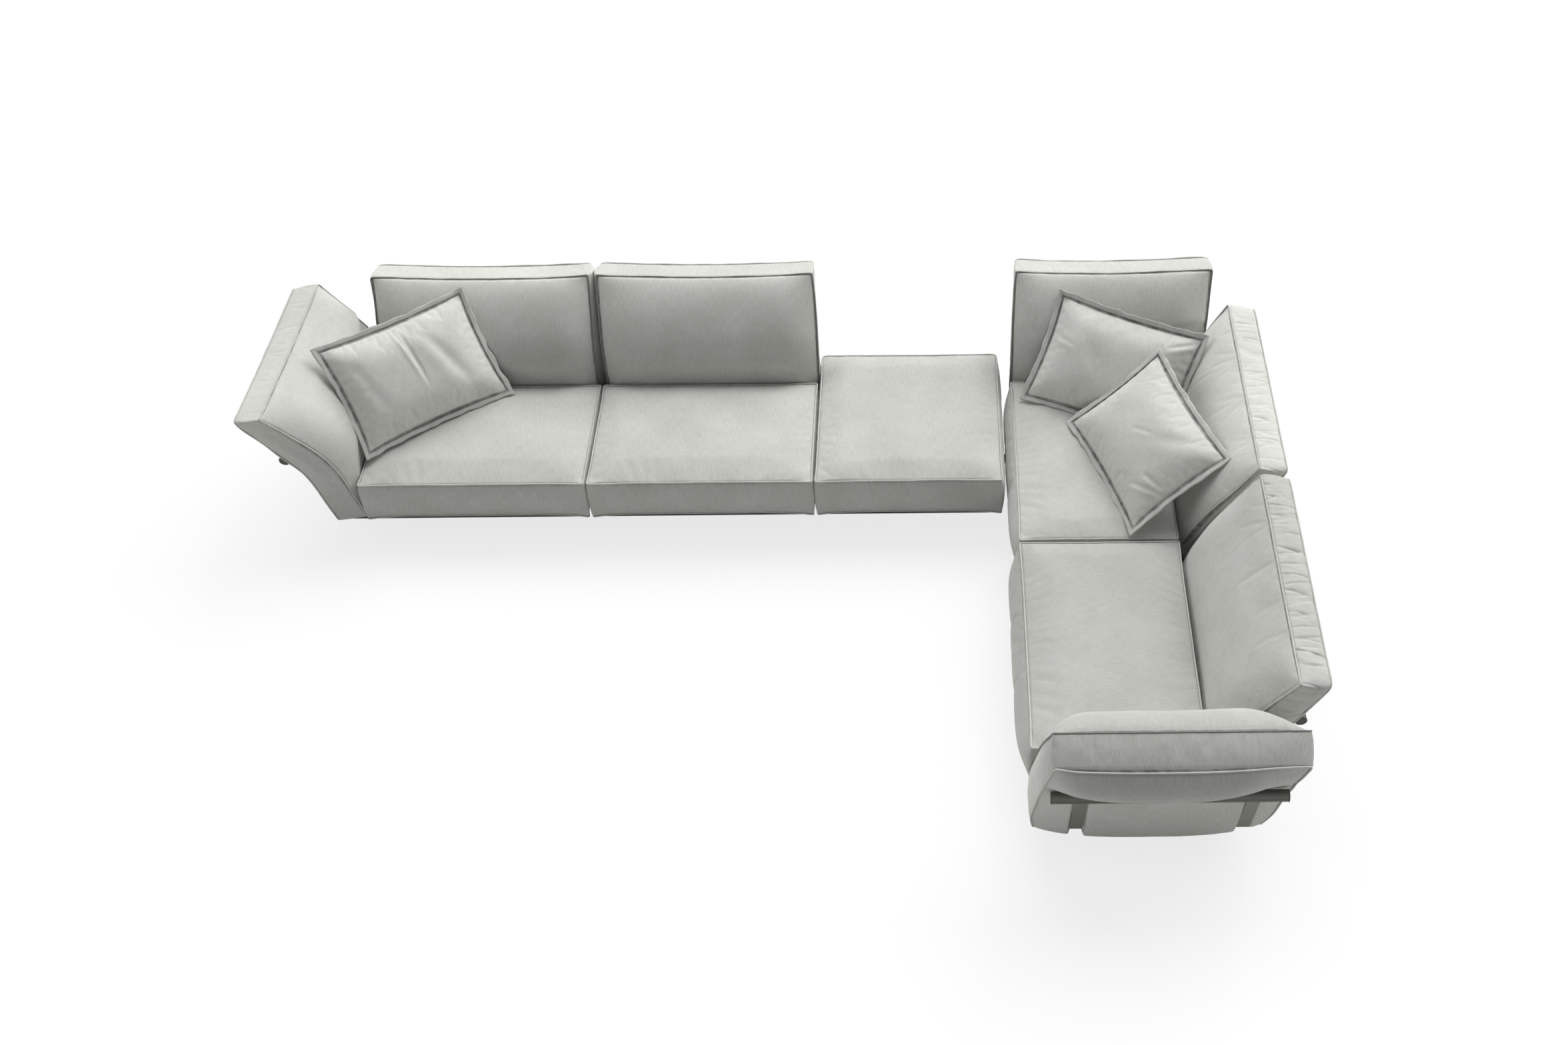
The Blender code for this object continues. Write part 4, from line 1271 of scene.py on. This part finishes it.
def pillow_matrix(name):
    """Place of a pillow: its turn is given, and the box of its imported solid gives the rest."""
    _, turn, lean, roll = PILLOWS[name]
    turned = (
        Matrix.Rotation(math.radians(turn), 4, "Z")
        @ Matrix.Rotation(math.radians(lean), 4, "X")
        @ Matrix.Rotation(math.radians(roll), 4, "Z")
    )
    rim_x = 1 - 2 * PILLOW_FLANGE / PILLOW_WIDTH
    rim_y = 1 - 2 * PILLOW_FLANGE / PILLOW_HEIGHT
    points = []
    for a in (-1, -rim_x, *PACKED_COLUMNS, rim_x, 1):
        for b in (-1, -rim_y, *PACKED_ROWS, rim_y, 1):
            spot = pillow_spot(a, b, PILLOW_WIDTH, PILLOW_HEIGHT)
            puff = pillow_puff(a / rim_x, b / rim_y)
            for depth in (PACKED_EDGE + PACKED_FRONT_PUFF * puff, -PACKED_EDGE - PACKED_BACK_PUFF * puff):
                points.append(turned @ Vector((*spot, depth)))
    low = Vector([min(point[axis] for point in points) for axis in range(3)])
    high = Vector([max(point[axis] for point in points) for axis in range(3)])
    packed_low, packed_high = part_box("pillow_" + name)
    middle = (packed_low + packed_high - low - high) / 2
    return Matrix.Translation(middle + PILLOW_FORWARD[name]) @ turned


def pillow_point(place_x, place_y, level):
    """Place of a pillow cover's grid point inside its seam, lying flat."""
    width, height = PILLOW_WIDTH - 2 * PILLOW_FLANGE, PILLOW_HEIGHT - 2 * PILLOW_FLANGE
    a, b = 2 * place_x / width - 1, 2 * place_y / height - 1
    puff = pillow_puff(a, b)
    edge = PILLOW_SEAM / 2
    z = edge + (PILLOW_FRONT_PUFF - edge) * puff if level > 0 else -edge - (PILLOW_BACK_PUFF - edge) * puff
    return Vector((*pillow_spot(a, b, width, height), z))


def pillow_held(cover, key):
    """A pillow is held at its seam."""
    rim = key[0] in (0, cover.counts[0]) or key[1] in (0, cover.counts[1])
    return 1.0 if rim else 0.0


def pillow_flange(cover, name, lift):
    """Flat flange sewn outside the seam, gently rippled and crimped, as one closed strip."""
    verts = cover.thing.data.vertices
    path = [verts[cover.index[key]].co.copy() for key in rim_keys(cover.counts, 2, 0)]
    centre = Vector((0, PILLOW_HEIGHT / 2, 0))
    half = Vector((PILLOW_WIDTH, PILLOW_HEIGHT)) / 2
    stretch = Vector((half.x / (half.x - PILLOW_FLANGE), half.y / (half.y - PILLOW_FLANGE))) - Vector((1, 1))
    bm = bmesh.new()
    seam = bm.verts.layers.float.new(SEAM)
    tone = bm.verts.layers.float.new(TONE)
    ring = [bm.verts.new((point.x, point.y, 0.0)) for point in path]
    edges = [bm.edges.new(pair) for pair in zip(ring, [*ring[1:], ring[0]])]
    for row in range(1, FLANGE_ROWS + 1):
        made = bmesh.ops.extrude_edge_only(bm, edges=edges)["geom"]
        outer = {item for item in made if isinstance(item, bmesh.types.BMVert)}
        new_edges = [item for item in made if isinstance(item, bmesh.types.BMEdge)]
        edges = [edge for edge in new_edges if outer.issuperset(edge.verts)]
        before, now = (row - 1) / FLANGE_ROWS, row / FLANGE_ROWS
        for vert in outer:
            away = vert.co - centre
            away.x *= (1 + stretch.x * now) / (1 + stretch.x * before)
            away.y *= (1 + stretch.y * now) / (1 + stretch.y * before)
            vert.co = centre + away
            # Distance from the seam, along which the cover's finish paints a dark line of shade
            vert[seam] = now * PILLOW_FLANGE
    for vert in bm.verts:
        vert[tone] = 1.0
        share = vert[seam] / PILLOW_FLANGE
        flat = Vector((vert.co.x, vert.co.y, len(name)))
        vert.co.z = share * (crumpled(flat, FLANGE_RIPPLE) + crumpled(flat, FLANGE_CRIMP))
        vert.co.z += share * lift * vert.co.y / PILLOW_HEIGHT
        vert.co.x += share * FLANGE_WAVER * wander(flat, FLANGE_WAVER_SIZE, WAVER_X_SEED)
        vert.co.y += share * FLANGE_WAVER * wander(flat, FLANGE_WAVER_SIZE, WAVER_Y_SEED)
    bmesh.ops.recalc_face_normals(bm, faces=bm.faces)
    bmesh.ops.solidify(bm, geom=bm.faces[:], thickness=FLANGE_THICKNESS)
    weave = bm.loops.layers.uv.new(WEAVE)
    for face in bm.faces:
        face.smooth = True
        for loop in face.loops:
            loop[weave].uv = (loop.vert.co.x, loop.vert.co.y)
    mesh = new_mesh(name, bm)
    mesh.materials.append(shared_finish("outdoor_linen_cover"))
    return new_thing(name, mesh)


def fold_shift(fold, cut):
    """Depth of one fold at a place on a pillow: a valley with a ridge beside it."""
    start, end, depth, width = fold
    size = Vector((PILLOW_WIDTH, PILLOW_HEIGHT))
    spot, first, last = (Vector(point[:2]) * size for point in (cut, start, end))
    run = last - first
    share = (spot - first).dot(run) / run.length_squared
    if not 0 < share < 1:
        return 0.0
    aside = (spot - first).cross(run) / run.length
    valley = math.exp(-((aside / width) ** 2))
    ridge = RIDGE_HEIGHT * math.exp(-(((aside - RIDGE_PLACE * width) / (RIDGE_WIDTH * width)) ** 2))
    return depth * math.sin(math.pi * share) ** 0.7 * (ridge - valley)


def pillow_shift(name, cut, place):
    """Creases of a pillow cover: its folds, on the front, and soft dents all over."""
    edge = min(cut.x, 1 - cut.x, cut.y, 1 - cut.y)
    shift = crumpled(place, PILLOW_DENTS) * rise(edge, PILLOW_DENT_BAND)
    if cut.z > 0.5:
        shift += sum(fold_shift(fold, cut) for fold in PILLOW_FOLDS[name])
    return shift


class SOFA_OT_pillows(bpy.types.Operator):
    """Sew and fill the three flanged pillows"""

    bl_idname = "sofa.pillows"
    bl_label = "Pillows"

    def execute(self, context):
        filling = context.scene.sofa_filling
        covers = {}
        for number, name in enumerate(PILLOWS):
            lines = [
                graded_lines(PILLOW_WIDTH - 2 * PILLOW_FLANGE, cell=PILLOW_CELL),
                graded_lines(PILLOW_HEIGHT - 2 * PILLOW_FLANGE, cell=PILLOW_CELL),
                [0.0, PILLOW_SEAM],
            ]
            seed = number + len(SEATS) + len(PADS)
            covers[name] = sewn_cover(
                "pillow_cover_" + name, lines, pillow_point, WEAVE_WAYS, seed, SEATS_PIPED, PILLOW_SEAMS
            )
        pressure, slack = filling.pillow_pressure, filling.pillow_slack
        fill_covers(covers.values(), pillow_held, pressure, slack, PILLOW_FILLING_CAP)
        for name, cover in covers.items():
            body = PILLOWS[name][0]
            flange = pillow_flange(cover, "pillow_flange_" + name, FLANGE_LIFT[name])
            smooth_cover(cover.thing)
            crease_cover(cover.thing, lambda cut, spot, pillow=name: pillow_shift(pillow, cut, spot))
            place = pillow_matrix(name)
            for piece in (cover.thing, flange):
                piece.data.transform(place)
                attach(piece, body)
            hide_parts("pillow_" + name)
        return {"FINISHED"}


# Tubes, uprights and bases


def add_fitting(name, bm, finish):
    """Turn a bmesh into a fitting that rides on the frame."""
    bmesh.ops.recalc_face_normals(bm, faces=bm.faces)
    mesh = new_mesh(name, bm)
    for face in mesh.polygons:
        face.use_smooth = True
    mesh.set_sharp_from_angle(angle=SMOOTH_ANGLE)
    mesh.materials.append(shared_finish(finish))
    thing = new_thing(name, mesh)
    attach(thing, "frame")
    return thing


def join(whole, one):
    """Add one bmesh to another and free it."""
    mesh = new_mesh("part", one)
    whole.from_mesh(mesh)
    bpy.data.meshes.remove(mesh)


def add_disc(whole, place, radius, thickness, dome):
    """Add a disc with an eased outer edge and a slightly domed face along its local Z."""
    bm = bmesh.new()
    made = bmesh.ops.create_cone(
        bm, cap_ends=True, segments=DISC_SIDES, radius1=radius, radius2=radius, depth=thickness,
        matrix=Matrix(),
    )
    top = [vert for vert in made["verts"] if vert.co.z > 0]
    rim = [edge for edge in bm.edges if edge.verts[0] in top and edge.verts[1] in top]
    bmesh.ops.bevel(
        bm, geom=rim, offset=min(radius, thickness) * DISC_EASE, affect="EDGES", segments=3, profile=0.5,
        material=-1,
    )
    upward = [face for face in bm.faces if face.normal.z > 0.99]
    cap = max(upward, key=lambda face: face.calc_area())
    bmesh.ops.inset_individual(bm, faces=[cap], thickness=radius * DISC_INSET)
    for vert in cap.verts:
        vert.co.z += dome
    bm.transform(place)
    join(whole, bm)


class SOFA_OT_supports(bpy.types.Operator):
    """Paint the tubes and uprights, and add their caps and screws"""

    bl_idname = "sofa.supports"
    bl_label = "Tubes and uprights"

    def execute(self, context):
        for name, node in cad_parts.items():
            if name.startswith("support_bar_"):
                paint(node, "powder_coated_tube")
            if name.startswith("upright_"):
                paint(node, "powder_coated_upright")
        for name in PADS:
            side = PADS[name][0]
            shape = PAD_SHAPES[side]
            frame = pad_frame(side)
            centre = pad_offset(shape, shape.bar_along, shape.bar_offset)
            whole = bmesh.new()
            for end, way in zip(bar_ends(name), (-1, 1)):
                turned = Matrix.Rotation(way * math.pi / 2, 4, "Y")
                spot = Matrix.Translation((end + way * CAP_STAND_OFF, centre.x, centre.y))
                add_disc(whole, frame @ spot @ turned, BAR_RADIUS + CAP_OVERLAP, CAP_THICKNESS, CAP_DOME)
            add_fitting("tube_caps_" + name, whole, "moulded_cap")
            whole = bmesh.new()
            reach = UPRIGHT_REACH[side] + UPRIGHT_THICKNESS + FOOT_GAP
            turned = Matrix.Rotation(-math.pi / 2, 4, "X")
            for x in upright_places(name):
                for aside in (-SCREW_SPACING / 2, SCREW_SPACING / 2):
                    spot = Matrix.Translation((x + aside, reach + SCREW_STAND_OFF, -SCREW_DROP))
                    add_disc(whole, frame @ spot @ turned, SCREW_RADIUS, SCREW_THICKNESS, SCREW_DOME)
            add_fitting("flange_screws_" + name, whole, "powder_coated_upright")
        return {"FINISHED"}


def paint(node, finish):
    """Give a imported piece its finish."""
    node.data.materials.clear()
    node.data.materials.append(shared_finish(finish))


class SOFA_OT_bases(bpy.types.Operator):
    """Paint the bases, decks and link plates, and add the glides"""

    bl_idname = "sofa.bases"
    bl_label = "Bases"

    def execute(self, context):
        for name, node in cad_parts.items():
            if name.startswith(("base_frame_", "slat_deck_", "link_plate_")):
                paint(node, "powder_coated_base")
        width = LEG_FOOT + 2 * GLIDE_MARGIN
        size = Matrix.Diagonal((width, width, GLIDE_THICKNESS, 1.0))
        for name in SEATS:
            low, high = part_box("base_frame_" + name)
            whole = bmesh.new()
            for x in (low.x + LEG_TOP / 2, high.x - LEG_TOP / 2):
                for y in (low.y + LEG_SETBACK, high.y - LEG_SETBACK):
                    one = bmesh.new()
                    place = Matrix.Translation((x, y, GLIDE_THICKNESS / 2))
                    bmesh.ops.create_cube(one, size=1.0, matrix=place @ size)
                    bmesh.ops.bevel(
                        one, geom=one.edges[:], offset=GLIDE_EASE, affect="EDGES", segments=2, profile=0.5,
                        material=-1,
                    )
                    join(whole, one)
            add_fitting("leg_glides_" + name, whole, "moulded_cap")
        return {"FINISHED"}


# Stage


def add_lamp(name, way, strength):
    """Distant soft lamp that shines from a way."""
    lamp = bpy.data.lights.new(name, "SUN")
    lamp.angle = math.radians(LAMP_SPREAD)
    lamp.energy = strength
    thing = new_thing(name, lamp)
    thing.rotation_euler = (-Vector(way)).to_track_quat("-Z", "Y").to_euler()


def plain_background(tree, shade, target):
    """Show white to the camera and to reflections, and keep the shade for all other light."""
    path = add_node(tree, "ShaderNodeLightPath")
    seen = add_node(
        tree, "ShaderNodeMath", {0: path.outputs["Is Camera Ray"], 1: path.outputs["Is Glossy Ray"]},
        operation="MAXIMUM",
    )
    both = add_node(
        tree, "ShaderNodeMath", {0: seen.outputs[0], 1: path.outputs["Is Transmission Ray"]},
        operation="MAXIMUM",
    )
    white = add_node(tree, "ShaderNodeBackground", {"Color": (1, 1, 1, 1), "Strength": 1.0})
    mixed = add_node(tree, "ShaderNodeMixShader", {0: both.outputs[0], 1: shade, 2: white.outputs[0]})
    tree.links.new(mixed.outputs[0], target)


class SOFA_OT_stage(bpy.types.Operator):
    """Put up the floor, the soft lamps and the photograph's camera"""

    bl_idname = "sofa.stage"
    bl_label = "Floor, lamps and camera"

    def execute(self, context):
        scene = context.scene
        bm = bmesh.new()
        bmesh.ops.create_grid(bm, x_segments=1, y_segments=1, size=FLOOR_HALF)
        floor = new_thing("studio_floor", new_mesh("studio_floor", bm))
        finish, tree, shader = new_finish("matt_white_floor")
        shader.inputs["Roughness"].default_value = 1.0
        shader.inputs["Specular IOR Level"].default_value = 0.0
        path = add_node(tree, "ShaderNodeLightPath")
        seen = path.outputs["Is Camera Ray"]
        colour = add_node(
            tree, "ShaderNodeMix", {"Factor": seen, "A": linear("#D8D8D6"), "B": linear("#FFFFFF")},
            data_type="RGBA",
        )
        tree.links.new(colour.outputs["Result"], shader.inputs["Base Color"])
        share = add_node(tree, "ShaderNodeMath", {0: seen, 1: FLOOR_GLOW}, operation="MULTIPLY")
        white = add_node(tree, "ShaderNodeEmission", {"Color": (1, 1, 1, 1), "Strength": 1.0})
        mixed = add_node(
            tree, "ShaderNodeMixShader", {0: share.outputs[0], 1: shader.outputs[0], 2: white.outputs[0]}
        )
        tree.links.new(mixed.outputs[0], tree.nodes["Material Output"].inputs["Surface"])
        floor.data.materials.append(finish)

        world = bpy.data.worlds.new("soft_studio")
        scene.world = world
        world.use_nodes = True
        tree = world.node_tree
        shade = tree.nodes["Background"]
        shade.inputs["Color"].default_value = linear("#FFFFFF")
        shade.inputs["Strength"].default_value = WORLD_STRENGTH
        plain_background(tree, shade.outputs[0], tree.nodes["World Output"].inputs["Surface"])

        for name, (way, strength) in LAMPS.items():
            add_lamp(name, way, strength)

        lens = bpy.data.cameras.new("photo_camera")
        lens.sensor_width = SENSOR_WIDTH
        lens.sensor_fit = "HORIZONTAL"
        lens.lens = FOCAL_PIXELS * SENSOR_WIDTH / IMAGE_WIDTH
        lens.shift_x = -MIDDLE_PIXELS / IMAGE_WIDTH
        camera = new_thing("photo_camera", lens)
        camera.location = CAMERA_PLACE
        turned = (
            Matrix.Rotation(CAMERA_TURN, 4, "Z")
            @ Matrix.Rotation(CAMERA_LEAN, 4, "X")
            @ Matrix.Rotation(CAMERA_ROLL, 4, "Z")
        )
        camera.rotation_euler = turned.to_euler()
        scene.camera = camera
        scene.view_settings.view_transform = "Standard"
        return {"FINISHED"}


class SOFA_PT_panel(bpy.types.Panel):
    """Sofa pieces in the sidebar"""

    bl_idname = "SOFA_PT_panel"
    bl_label = "Corner sofa"
    bl_space_type = "VIEW_3D"
    bl_region_type = "UI"
    bl_category = "Sofa"

    def draw(self, context):
        for group in (context.scene.sofa_covers, context.scene.sofa_filling, context.scene.sofa_finishes):
            for name in group.bl_rna.properties.keys():
                if name not in ("rna_type", "name"):
                    self.layout.prop(group, name)
        for operator in OPERATORS:
            self.layout.operator(operator.bl_idname)


GROUPS = {"sofa_covers": SofaCovers, "sofa_filling": SofaFilling, "sofa_finishes": SofaFinishes}
OPERATORS = (SOFA_OT_stage, SOFA_OT_seats, SOFA_OT_pads, SOFA_OT_pillows, SOFA_OT_supports, SOFA_OT_bases)


def register():
    """Register the settings, operators and panel."""
    for made in (*GROUPS.values(), *OPERATORS, SOFA_PT_panel):
        bpy.utils.register_class(made)
    for name, group in GROUPS.items():
        setattr(bpy.types.Scene, name, bpy.props.PointerProperty(type=group))


def unregister():
    """Take them out again."""
    for name in GROUPS:
        delattr(bpy.types.Scene, name)
    for made in reversed((*GROUPS.values(), *OPERATORS, SOFA_PT_panel)):
        bpy.utils.unregister_class(made)


def main():
    """Dress the whole sofa."""
    register()
    bpy.ops.sofa.stage()
    bpy.ops.sofa.seats()
    bpy.ops.sofa.pads()
    bpy.ops.sofa.pillows()
    bpy.ops.sofa.supports()
    bpy.ops.sofa.bases()


if __name__ == "__main__":
    main()
